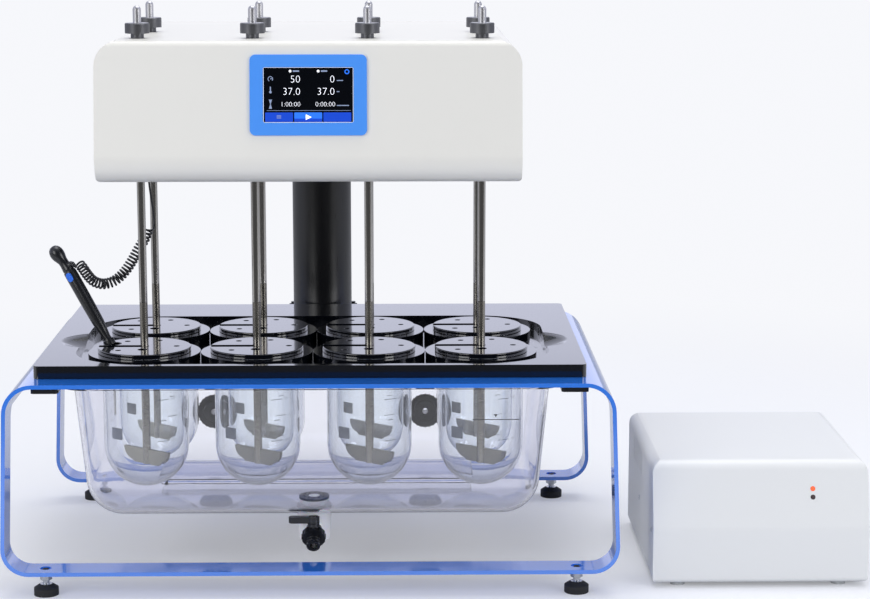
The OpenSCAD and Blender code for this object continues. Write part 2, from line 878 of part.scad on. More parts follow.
module head_cover() color("#eceae4") {
    difference() {
        head_body(0);
        head_body(head_wall);
        // Open foot, closed by the chassis
        translate([0, (chassis_back - chassis_front) / 2, head_z - over])
            rblock(chassis_w, chassis_front + chassis_back, head_wall + 2 * over, head_heel_r);
        for (n = [1 : 2 * columns]) at_station(n) translate([0, 0, head_top - head_wall - over])
            cylinder(d = hub_d + cover_hole_clear, h = head_wall + 2 * over);
        // Window behind the display
        face_frame(bezel_z)
            cube([screen_w + module_clear, 4 * head_wall, screen_h + module_clear], center = true);
    }
}

module display_bezel() color("#3f86ef") {
    face_frame(bezel_z) difference() {
        rotate([90, 0, 0]) rblock(bezel_w, bezel_h, bezel_proud, bezel_corner_r);
        translate([0, over, 0]) rotate([90, 0, 0])
            rblock(screen_w, screen_h, bezel_proud + 2 * over, screen_corner_r);
    }
}

module touchscreen() color("#05070c") {
    face_frame(bezel_z) translate([0, module_t + screen_sunk - bezel_proud, 0]) rotate([90, 0, 0])
        rblock(screen_w - 2 * seat, screen_h - 2 * seat, module_t, screen_corner_r);
}

deck_y0 = -pitch_y / 2 - boss_d;

module head_chassis() color("#9aa0a8") {
    difference() {
        union() {
            // Floor of the head
            translate([0, (chassis_back - chassis_front) / 2, head_z + seat])
                rblock(chassis_w - 2 * running, chassis_front + chassis_back - 2 * running, chassis_t,
                    head_heel_r);
            for (n = [1 : 2 * columns]) at_station(n) translate([0, 0, head_z + seat])
                cylinder(d = boss_d, h = chassis_t + boss_h);
            // Upper deck on four posts
            translate([-span_x / 2 - boss_d, deck_y0, head_z + upper_deck_z])
                cube([span_x + 2 * boss_d, pitch_y + 2 * boss_d, deck_t]);
            for (n = [1 : 2 * columns]) at_station(n) translate([0, 0, head_z + upper_deck_z])
                cylinder(d = boss_d, h = deck_t + boss_h);
            for (x = [-1, 1], y = [-1, 1]) translate([x * post_x, y * post_y, head_z + seat])
                cylinder(d = post_d, h = upper_deck_z + deck_t / 2);
            // Arm from the deck back to the lift column
            translate([-yoke_w / 2, pitch_y / 2, head_z + upper_deck_z])
                cube([yoke_w, column_y + column_d / 2 - pitch_y / 2, deck_t]);
            // Gland of the probe's cord
            translate(cord_path[cord_last])
                cylinder(d = gland_d, h = head_z - cord_path[cord_last][2] + chassis_t);
        }
        for (n = [1 : 2 * columns]) at_station(n) {
            translate([0, 0, head_z - over]) cylinder(d = shaft_d + shaft_clear, h = head_h);
            translate([0, 0, head_z + chassis_t + boss_h + seat - bearing_h])
                cylinder(d = bearing_d, h = head_h / 2);
            translate([0, 0, head_z + upper_deck_z + deck_t + boss_h - bearing_h])
                cylinder(d = bearing_d, h = head_h / 2);
        }
        // Hole that clears the fixed column in the floor
        translate([0, column_y, head_z - over])
            cylinder(d = column_d + 4 * lift_gap, h = chassis_t + 2 * over);
        // Seat of the lift column in the arm
        translate([0, column_y, head_z + upper_deck_z - over]) cylinder(d = lift_d, h = deck_t + 2 * over);
        // Hole of the motor's shaft
        translate([0, pitch_y / 2, head_z + upper_deck_z - over])
            cylinder(d = motor_shaft_d + motor_shaft_clear, h = deck_t + 2 * over);
    }
}

// Two bearings on each spindle
module spindle_bearings() color("#c8cbd0") {
    for (n = [1 : 2 * columns]) at_station(n) {
        translate([0, 0, head_z + chassis_t + boss_h + seat - bearing_h])
            tube(bearing_d, shaft_d + bearing_bore_clear, bearing_h);
        translate([0, 0, head_z + upper_deck_z + deck_t + boss_h - bearing_h])
            tube(bearing_d, shaft_d + bearing_bore_clear, bearing_h);
    }
}

module drive_motor() color("#30343a") {
    translate([0, pitch_y / 2, head_z + upper_deck_z - seat - motor_h]) {
        cylinder(d = motor_d, h = motor_h);
        translate([0, 0, -over]) cylinder(d = motor_d / 2, h = 2 * over);
    }
}

module motor_pulley() color("#44474d") {
    translate([0, pitch_y / 2, 0]) {
        pulley(head_z + pulley_z);
        translate([0, 0, head_z + pulley_z]) cylinder(d = motor_shaft_d, h = upper_deck_z - motor_h - pulley_z
            - over - 2 * seat);
    }
}

// Belt round the outside of all pulleys
module drive_belt() color("#1b1c1f") {
    inner = pulley_d / 2 + belt_gap;
    outer = inner + belt_t;
    translate([0, 0, head_z + pulley_z + (pulley_h - belt_w) / 2]) difference() {
        rblock(span_x + 2 * outer, pitch_y + 2 * outer, belt_w, outer);
        translate([0, 0, -over]) rblock(span_x + 2 * inner, pitch_y + 2 * inner, belt_w + 2 * over, inner);
    }
}

// Column and lift

lift_d = column_d - 2 * column_wall - 2 * lift_gap;
lift_z = head_z - lift_travel / 2 - lift_foot;
column_top = head_z + column_in_head;
column_foot = frame_top - sheet_t - column_drop;

module column_tube() color("#101216") {
    translate([0, column_y, 0]) {
        translate([0, 0, column_foot]) tube(column_d, column_d - 2 * column_wall, column_top - column_foot);
        translate([0, 0, column_foot]) cylinder(d = column_d - column_wall, h = column_wall);
    }
    translate([0, column_y, frame_top - sheet_t - flange_t - seat])
        tube(flange_d, column_d - column_wall, flange_t);
    at_flange_studs(frame_top - sheet_t - flange_t) {
        cylinder(d = flange_stud_d, h = flange_t + sheet_t + flange_stud_rise);
        translate([0, 0, flange_t + sheet_t + seat]) cylinder(d = flange_nut_d, h = flange_nut_h, $fn = 6);
    }
}

module lift_column() color("#c4c7cc") {
    translate([0, column_y, 0]) {
        difference() {
            union() {
                translate([0, 0, lift_z]) cylinder(d = lift_d, h = head_z + upper_deck_z + deck_t - lift_z);
                translate([0, 0, head_z + upper_deck_z + deck_t]) cylinder(d = lift_d + 2 * post_d, h = deck_t);
            }
            translate([0, 0, lift_z - over])
                cylinder(d = lift_d - 2 * lift_wall, h = head_z + upper_deck_z - lift_z);
        }
        // Push rod of the actuator, fixed to the top of the tube
        translate([0, 0, lift_z]) cylinder(d = rod_out_d, h = head_z + upper_deck_z - lift_z);
    }
}

module lift_actuator() color("#b5b8bd") {
    foot_z = column_foot + column_wall + seat;
    bore = actuator_d - 2 * actuator_wall;
    translate([0, column_y, foot_z]) {
        cylinder(d = lift_d, h = actuator_foot_h);
        translate([0, 0, actuator_foot_h])
            tube(actuator_d, bore, column_top - foot_z - actuator_foot_h - actuator_gap);
        // Guide of the push rod at the tube's mouth
        translate([0, 0, column_top - foot_z - actuator_gap - guide_h])
            tube(bore + over, rod_out_d + 2 * seat, guide_h);
    }
}

// Probe

wand_p = [station(1)[0] + wand_foot[0], station(1)[1] + wand_foot[1], deck_z + wand_foot[2]];
wand_len = norm(wand_lean);
wand_tilt = atan2(norm([wand_lean[0], wand_lean[1]]), wand_lean[2]);
wand_turn = atan2(wand_lean[1], wand_lean[0]);

// Frame of the wand: its Z runs from the foot to the top, its X side faces down
module wand_frame() {
    translate(wand_p) rotate([0, 0, wand_turn]) rotate([0, wand_tilt, 0]) children();
}

// Child turned so that its Z runs along a direction, from a point
module aimed(p, dir) {
    translate(p) rotate([0, acos(dir[2] / norm(dir)), atan2(dir[1], dir[0])]) children();
}

// Outline of the button's place, drawn out by a gap, from the depth of its floor outwards
module button_block(gap, floor_y, h) {
    translate([0, floor_y, wand_len * button_share]) rotate([-90, 0, 0])
        rblock(button_w + 2 * gap, button_l + 2 * gap, h, button_w / 2 + gap - seat);
}

button_back = wand_d / 2 - button_sink;

module probe_wand() color("#17191d") {
    wand_frame() {
        difference() {
            union() {
                translate([0, 0, -collar_h / 2])
                    cylinder(d1 = collar_d - collar_h / 2, d2 = collar_d, h = collar_h);
                cylinder(d1 = neck_d, d2 = wand_d, h = wand_taper_h);
                translate([0, 0, wand_taper_h]) cylinder(d = wand_d, h = wand_len - wand_taper_h);
                translate([0, 0, wand_len]) sphere(d = wand_d);
            }
            button_block(seat, button_back - button_travel - seat, wand_d);
        }
        // Upright sensor rod, out of the way of the rising blade
        rotate([0, -wand_tilt, 0]) translate([-rod_side, 0, -rod_len]) cylinder(d = rod_d, h = rod_len);
    }
    // Socket from which the cord leaves
    aimed(cord_path[0], cord_path[0] - cord_path[1]) cylinder(d = socket_d, h = socket_l);
}

module probe_button() color("#2f72e0") {
    wand_frame() button_block(0, button_back, button_sink + button_rise);
}

// Curly cord: one unbroken helix along the route, straight at both ends

// Point of the smooth route at u spans from its first point
function route(u) = let (i = min(floor(u), cord_last - 1), t = u - i,
    a = cord_path[max(i - 1, 0)], b = cord_path[i], c = cord_path[i + 1], d = cord_path[min(i + 2, cord_last)])
    0.5 * (2 * b + (c - a) * t + (2 * a - 5 * b + 4 * c - d) * t * t + (3 * b - a - 3 * c + d) * t * t * t);
route_step = 0.01;
function unit(v) = v / norm(v);
function route_dir(u) = unit(route(min(u + route_step, cord_last)) - route(max(u - route_step, 0)));

// Lengths along the curled stretch, so that the curls are evenly spaced
curl_cells = 120;
curl_u = [for (i = [0 : curl_cells]) curl_start + (curl_end - curl_start) * i / curl_cells];
function running_sum(v, i = 0, total = 0) = i == len(v) ? [total]
    : concat([total], running_sum(v, i + 1, total + v[i]));
curl_lengths = running_sum([for (i = [1 : curl_cells]) norm(route(curl_u[i]) - route(curl_u[i - 1]))]);
curl_length = curl_lengths[curl_cells];
function u_at(s) = lookup(s, [for (i = [0 : curl_cells]) [curl_lengths[i], curl_u[i]]]);
function curl_size(share) = curl_r * min(1, share * curls / curl_ease, (1 - share) * curls / curl_ease);
function curl_point(share) = let (u = u_at(share * curl_length), t = route_dir(u),
    n = unit(cross(t, [0, 1, 0])), b = cross(t, n), angle = 360 * curls * share)
    route(u) + curl_size(share) * (cos(angle) * n + sin(angle) * b);
curl_rings = curls * rings_per_curl;
cord_line = concat([for (i = [0 : tail_rings - 1]) route(curl_start * i / tail_rings)],
    [for (i = [0 : curl_rings]) curl_point(i / curl_rings)],
    [for (i = [1 : 2 * tail_rings]) route(curl_end + (cord_last - curl_end) * i / (2 * tail_rings))]);

// Tube of straight facets along a line of points
function line_dir(p, i) = unit(p[min(i + 1, len(p) - 1)] - p[max(i - 1, 0)]);
module swept_tube(p, d, sides) {
    count = len(p);
    points = [for (i = [0 : count - 1])
        let (t = line_dir(p, i), n = unit(cross(t, [0, 1, route_step])), b = cross(t, n))
        for (k = [0 : sides - 1]) p[i] + d / 2 * (cos(360 * k / sides) * n + sin(360 * k / sides) * b)];
    walls = [for (i = [0 : count - 2], k = [0 : sides - 1])
        let (a = i * sides + k, b = i * sides + (k + 1) % sides)
        each [[a, b, b + sides], [a, b + sides, a + sides]]];
    caps = [for (k = [1 : sides - 2]) each [[0, k + 1, k],
        [(count - 1) * sides, (count - 1) * sides + k, (count - 1) * sides + k + 1]]];
    polyhedron(points = points, faces = concat(walls, caps));
}

module probe_cord() color("#1a1b1f") {
    swept_tube(cord_line, cord_d, cord_sides);
}

// Least distance between neighbouring curls, and the cord's length, measured on its points
curl_gap = min([for (i = [0 : curl_rings - rings_per_curl]) min([for (k = [-2 : 2])
    let (j = i + rings_per_curl + k) j > curl_rings ? curl_length
    : norm(curl_point(i / curl_rings) - curl_point(j / curl_rings))])]) - cord_d;
cord_length = running_sum([for (i = [1 : len(cord_line) - 1]) norm(cord_line[i] - cord_line[i - 1])]);
echo(least_gap_between_curls = curl_gap, cord_length = cord_length[len(cord_length) - 1]);

// Heater

heater_z = heater_gap;
heater_back = heater_d - heater_front;
heater_mid_x = heater_x + heater_w / 2;
heater_discs = [[-heater_front + heater_foot_r, heater_z + heater_foot_r, heater_foot_r],
    [heater_back - heater_foot_r, heater_z + heater_foot_r, heater_foot_r],
    [heater_back - heater_back_r, heater_h - heater_back_r, heater_back_r],
    [-heater_front + heater_lean + heater_brow_r, heater_h - heater_brow_r, heater_brow_r],
    [-heater_front + heater_fold_r, heater_fold, heater_fold_r]];
heater_front_discs = [[-(heater_w / 2 - heater_foot_r), heater_z + heater_foot_r, heater_foot_r],
    [heater_w / 2 - heater_foot_r, heater_z + heater_foot_r, heater_foot_r],
    [heater_w / 2 - heater_edge_r, heater_h - heater_edge_r, heater_edge_r],
    [-(heater_w / 2 - heater_edge_r), heater_h - heater_edge_r, heater_edge_r]];
heater_normal = edge_normal(heater_discs[3], heater_discs[4]);
heater_slope = half_turn - (heater_normal + 2 * half_turn) % (2 * half_turn);
heater_face_foot = on_disc(heater_discs[4], heater_normal, 0);

module heater_body(inset) {
    translate([heater_mid_x, 0, 0]) intersection() {
        along_x(heater_w + 2 * over) disc_outline(heater_discs, inset);
        along_y(-heater_front - over, heater_back + over) disc_outline(heater_front_discs, inset);
    }
}

// Frame of the heater's leaning face at height z: local -Y runs out of the face
module heater_face_frame(x, z) {
    translate([heater_x + x, heater_face_foot[0] + (z - heater_face_foot[1]) * tan(heater_slope), z])
        rotate([-heater_slope, 0, 0]) children();
}

// Two round lamps in the leaning face
module lamps() {
    for (z = lamp_z) heater_face_frame(lamp_x, z) rotate([90, 0, 0]) translate([0, 0, -lamp_t]) {
        cylinder(d = lamp_d, h = lamp_t + lamp_proud - lamp_d / 6);
        translate([0, 0, lamp_t + lamp_proud - lamp_d / 6]) intersection() {
            translate([0, 0, -lamp_d / 3]) sphere(d = lamp_d);
            cylinder(d = lamp_d, h = lamp_d);
        }
    }
}

module heater_case() {
    color("#e0542c") lamps();
    color("#e9ebec") difference() {
        heater_body(0);
        heater_body(heater_wall);
        // Open foot, closed by the base
        translate([heater_mid_x, heater_back - heater_d / 2, heater_z - over])
            rblock(heater_w - 4 * heater_wall, heater_d - 4 * heater_wall, heater_wall + 2 * over,
                heater_foot_r);
        for (i = [0 : vent_count - 1], x = [heater_x, heater_x + heater_w])
            translate([x, vent_y + i * vent_pitch, vent_z])
                cube([4 * heater_wall, vent_w, vent_h], center = true);
        for (z = lamp_z) heater_face_frame(lamp_x, z) rotate([90, 0, 0])
            translate([0, 0, -2 * lamp_t]) cylinder(d = lamp_d + seat, h = 4 * lamp_t);
        for (x = tail_x) translate([heater_mid_x + x, heater_back - 2 * heater_wall, tail_z]) rotate([-90, 0, 0])
            cylinder(d = tail_d + 2 * seat, h = 4 * heater_wall);
    }
}

heater_pads = [for (x = [-1, 1], y = [0, 1]) [heater_mid_x + x * (heater_w / 2 - heater_pad_inset_x),
    y == 0 ? -heater_front + heater_pad_inset_y : heater_back - heater_pad_inset_y]];

module heater_base() {
    color("#c9cbcd") translate([heater_mid_x, heater_back - heater_d / 2, heater_z])
        rblock(heater_w - 4 * heater_wall - 2 * running, heater_d - 4 * heater_wall - 2 * running,
            heater_floor_t, heater_foot_r);
    color("#d8dadb") for (p = heater_pads) translate([p[0], p[1], 0])
        cylinder(d = heater_pad_d, h = heater_z + over);
}

module heater_unit() color("#8b9097") {
    floor_z = heater_z + heater_floor_t + seat;
    translate([heater_mid_x, heater_back - tank_y - tank_d / 2, floor_z]) {
        cylinder(d = tank_d, h = tank_h);
        translate([0, 0, pump_d / 2]) rotate([90, 0, 0]) cylinder(d = pump_d, h = tank_d / 2 + pump_l);
    }
    for (x = tail_x) translate([heater_mid_x + x, heater_back + tail_l, tail_z]) rotate([90, 0, 0]) {
        tube(tail_d, tail_bore, tail_l);
        tube(tail_pipe_d, tail_bore, tail_l + tank_y + tank_d / 2);
    }
}

on_bench() frame_stand();
on_bench() levelling_foot(1);  // foot_1
on_bench() levelling_foot(2);  // foot_2
on_bench() levelling_foot(3);  // foot_3
on_bench() levelling_foot(4);  // foot_4
on_bench() bath_rails();
on_bench() water_bath();
on_bench() bath_ports();
on_bench() drain_valve();
on_bench() drain_lever();
on_bench() vessel_plate();
on_bench() vessel(1);  // vessel_1
on_bench() vessel(2);  // vessel_2
on_bench() vessel(3);  // vessel_3
on_bench() vessel(4);  // vessel_4
on_bench() vessel(5);  // vessel_5
on_bench() vessel(6);  // vessel_6
on_bench() vessel(7);  // vessel_7
on_bench() vessel(8);  // vessel_8
on_bench() lid(1);  // lid_1
on_bench() lid(2);  // lid_2
on_bench() lid(3);  // lid_3
on_bench() lid(4);  // lid_4
on_bench() lid(5);  // lid_5
on_bench() lid(6);  // lid_6
on_bench() lid(7);  // lid_7
on_bench() lid(8);  // lid_8
on_bench() paddle(1);  // paddle_1
on_bench() paddle(2);  // paddle_2
on_bench() paddle(3);  // paddle_3
on_bench() paddle(4);  // paddle_4
on_bench() paddle(5);  // paddle_5
on_bench() paddle(6);  // paddle_6
on_bench() paddle(7);  // paddle_7
on_bench() paddle(8);  // paddle_8
on_bench() spindle(1);  // spindle_1
on_bench() spindle(2);  // spindle_2
on_bench() spindle(3);  // spindle_3
on_bench() spindle(4);  // spindle_4
on_bench() spindle(5);  // spindle_5
on_bench() spindle(6);  // spindle_6
on_bench() spindle(7);  // spindle_7
on_bench() spindle(8);  // spindle_8
on_bench() head_cover();
on_bench() head_chassis();
on_bench() spindle_bearings();
on_bench() display_bezel();
on_bench() touchscreen();
on_bench() drive_motor();
on_bench() motor_pulley();
on_bench() drive_belt();
on_bench() column_tube();
on_bench() lift_column();
on_bench() lift_actuator();
on_bench() probe_wand();
on_bench() probe_button();
on_bench() probe_cord();
on_bench() heater_case();
on_bench() heater_base();
on_bench() heater_unit();
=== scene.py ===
"""Finished pieces of an eight position dissolution tester, laid out as an add-on round its fixed frame."""

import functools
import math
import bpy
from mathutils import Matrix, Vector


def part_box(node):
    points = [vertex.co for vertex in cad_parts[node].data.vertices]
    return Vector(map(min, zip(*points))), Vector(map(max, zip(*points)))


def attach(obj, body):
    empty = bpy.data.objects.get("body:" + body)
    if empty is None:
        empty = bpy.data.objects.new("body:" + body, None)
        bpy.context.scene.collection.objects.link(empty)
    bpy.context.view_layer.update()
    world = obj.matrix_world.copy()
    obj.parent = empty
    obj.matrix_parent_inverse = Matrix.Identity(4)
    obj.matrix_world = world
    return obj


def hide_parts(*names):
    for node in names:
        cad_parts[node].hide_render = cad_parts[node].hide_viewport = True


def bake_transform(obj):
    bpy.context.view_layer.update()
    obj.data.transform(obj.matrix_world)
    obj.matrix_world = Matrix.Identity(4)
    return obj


bl_info = {
    "name": "Dissolution tester",
    "version": (1, 0, 0),
    "blender": (4, 5, 0),
    "location": "View3D > Sidebar > Tester",
    "description": "Builds the pieces, finishes, light and camera of a paddle dissolution tester",
    "category": "Add Mesh",
}

import bmesh
import bpy
from bpy.props import FloatProperty, FloatVectorProperty, IntProperty, PointerProperty
from mathutils import Matrix, Vector

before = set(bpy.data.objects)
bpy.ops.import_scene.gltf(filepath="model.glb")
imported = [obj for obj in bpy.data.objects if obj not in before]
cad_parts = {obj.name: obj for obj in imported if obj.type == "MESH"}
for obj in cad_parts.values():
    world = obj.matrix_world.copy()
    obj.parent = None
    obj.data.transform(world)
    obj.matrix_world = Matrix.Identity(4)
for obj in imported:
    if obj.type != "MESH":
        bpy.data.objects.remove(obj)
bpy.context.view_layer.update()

MM = 0.001
MERGE = 0.002 * MM
# Angles in degrees: edges that stay sharp, and faces that count as one
SHARP = 32
FLAT = 0.4
STATIONS = range(1, 9)
# How far prints stand before their surface
PROUD = 0.12 * MM


def middle(node):
    """Middle of a frame node's box."""
    low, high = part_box(node)
    return (low + high) / 2


# Point on the bench under the middle of the eight stations
STATION_MIDDLE = (middle("vessel_1") + middle("vessel_8")) / 2
STATION_MIDDLE.z = 0


def place(x, y, z):
    """Point given in millimetres from the middle of the stations."""
    return STATION_MIDDLE + Vector((x, y, z)) * MM


# Outlines drawn in millimetres
IN_MM = Matrix.Scale(MM, 4)


def linear(code):
    """Linear colour of an sRGB hex value."""
    shares = [int(code[i:i + 2], 16) / 255 for i in (1, 3, 5)]
    return [s / 12.92 if s <= 0.04045 else ((s + 0.055) / 1.055) ** 2.4 for s in shares] + [1]


def length(name, description, millimetres):
    """Size that a user can change."""
    return FloatProperty(name=name, description=description, default=millimetres * MM, min=0, unit="LENGTH")


def colour(name, description, code):
    """Colour that a user can change."""
    return FloatVectorProperty(name=name, description=description, default=linear(code), size=4,
        min=0, max=1, subtype="COLOR")


class TesterSizes(bpy.types.PropertyGroup):
    """Sizes of the pieces that are modelled round the frame"""

    sheet_edge: length("Sheet edge", "Rounding of the bent sheet's edges", 0.9)
    moulded_edge: length("Moulded edge", "Rounding of moulded edges", 0.7)
    turned_edge: length("Turned edge", "Rounding of turned and milled edges", 0.35)
    cover_edge: length("Cover edge", "Rounding of the head cover's edges", 2.2)
    bath_wall: length("Bath wall", "Wall of the water bath", 4)
    bath_corner: length("Bath corner", "Radius of the bath's corners", 39)
    vessel_wall: length("Vessel wall", "Wall of a vessel", 2.2)
    vessel_rim: length("Vessel rim", "Thickness of a vessel's rim", 3)
    cord: length("Cord", "Diameter of the probe's cord", 2.6)
    curl: length("Curl", "Mean radius of the cord's curls", 5.8)
    curls: IntProperty(name="Curls", description="Number of curls in the cord", default=32, min=1)
    wand: length("Wand", "Diameter of the probe's wand", 15)


class TesterColours(bpy.types.PropertyGroup):
    """Colours of the finishes"""

    frame_blue: colour("Frame", "Enamel of the stand", "#2A7FF2")
    bezel_blue: colour("Bezel", "Moulded bezel round the display", "#4496FA")
    gloss_black: colour("Deck", "Vessel plate and lids", "#080B12")
    satin_black: colour("Black plastic", "Probe, valve, ports and rails", "#14161B")
    column_black: colour("Column", "Anodised column", "#07090E")
    head_white: colour("Head", "Powder coat of the drive head", "#E9E8E3")
    heater_white: colour("Heater", "Powder coat of the heater", "#E8EAEC")
    steel: colour("Steel", "Ground steel of shafts and paddles", "#C6C3BE")
    cap_grey: colour("Caps", "Oxide finish of the shaft caps", "#626367")
    mark_grey: colour("Marks", "Fired marks on the vessels", "#9AA0AA")


def sizes():
    return bpy.context.scene.tester_sizes


def colours():
    return bpy.context.scene.tester_colours


# Finishes


def add_node(tree, kind, settings=None, inputs=None):
    """Adds a node with its settings and links; an input is a value or another node's socket."""
    made = tree.nodes.new(kind)
    for name, value in (settings or {}).items():
        setattr(made, name, value)
    for name, value in (inputs or {}).items():
        if isinstance(value, bpy.types.NodeSocket):
            tree.links.new(value, made.inputs[name])
        else:
            made.inputs[name].default_value = value
    return made


# Sockets of the Principled surface, by the short names that the finishes give them
SOCKETS = {
    "metallic": "Metallic",
    "ior": "IOR",
    "coat": "Coat Weight",
    "coat_roughness": "Coat Roughness",
    "coat_ior": "Coat IOR",
    "transmission": "Transmission Weight",
    "alpha": "Alpha",
    "glow": "Emission Strength",
    "glow_colour": "Emission Color",
    "scatter": "Subsurface Weight",
    "scatter_scale": "Subsurface Scale",
    "sheen": "Sheen Weight",
}


def surface(name, base, roughness, **sockets):
    """Material with one Principled surface."""
    material = bpy.data.materials.new(name)
    material.use_nodes = True
    shader = material.node_tree.nodes["Principled BSDF"]
    shader.inputs["Base Color"].default_value = base
    shader.inputs["Roughness"].default_value = roughness
    for socket, value in sockets.items():
        shader.inputs[SOCKETS[socket]].default_value = value
    return material


def grain(material, size, depth, mottle=0.0, gloss=0.0, stretch=(1, 1, 1)):
    """Grain of a real size in millimetres: bump of a depth in millimetres, with a share of mottling in the
    colour and of change in the gloss."""
    tree = material.node_tree
    shader = tree.nodes["Principled BSDF"]
    spot = add_node(tree, "ShaderNodeTexCoord")
    turn = add_node(tree, "ShaderNodeMapping", inputs={"Vector": spot.outputs["Object"], "Scale": stretch})
    noise = add_node(tree, "ShaderNodeTexNoise",
        inputs={"Vector": turn.outputs["Vector"], "Scale": 1 / (size * MM), "Detail": GRAIN_DETAIL})
    bump = add_node(tree, "ShaderNodeBump",
        inputs={"Height": noise.outputs["Fac"], "Strength": 1, "Distance": depth * MM})
    tree.links.new(bump.outputs["Normal"], shader.inputs["Normal"])
    if mottle:
        base = tuple(shader.inputs["Base Color"].default_value)
        shade = tuple(c * (1 - mottle) for c in base[:3]) + (1,)
        mix = add_node(tree, "ShaderNodeMix", {"data_type": "RGBA"},
            {0: noise.outputs["Fac"], 6: shade, 7: base})
        tree.links.new(mix.outputs[2], shader.inputs["Base Color"])
    if gloss:
        rough = shader.inputs["Roughness"].default_value
        spread = add_node(tree, "ShaderNodeMapRange", inputs={"Value": noise.outputs["Fac"],
            "To Min": rough * (1 - gloss), "To Max": rough * (1 + gloss)})
        tree.links.new(spread.outputs["Result"], shader.inputs["Roughness"])
    return material


def painted_edge_shade(material, code, blend):
    """Painted shade: the colour of clear walls darkens towards a tone where they turn from the eye, standing
    in for the dark edges of thick glass.
    """
    tree = material.node_tree
    base = tree.nodes["Principled BSDF"].inputs["Base Color"]
    turn = add_node(tree, "ShaderNodeLayerWeight", inputs={"Blend": blend})
    mix = add_node(tree, "ShaderNodeMix", {"data_type": "RGBA"},
        {0: turn.outputs["Facing"], 6: tuple(base.default_value), 7: linear(code)})
    tree.links.new(mix.outputs[2], base)
    return material


# Layers of ever finer noise in a grain
GRAIN_DETAIL = 3

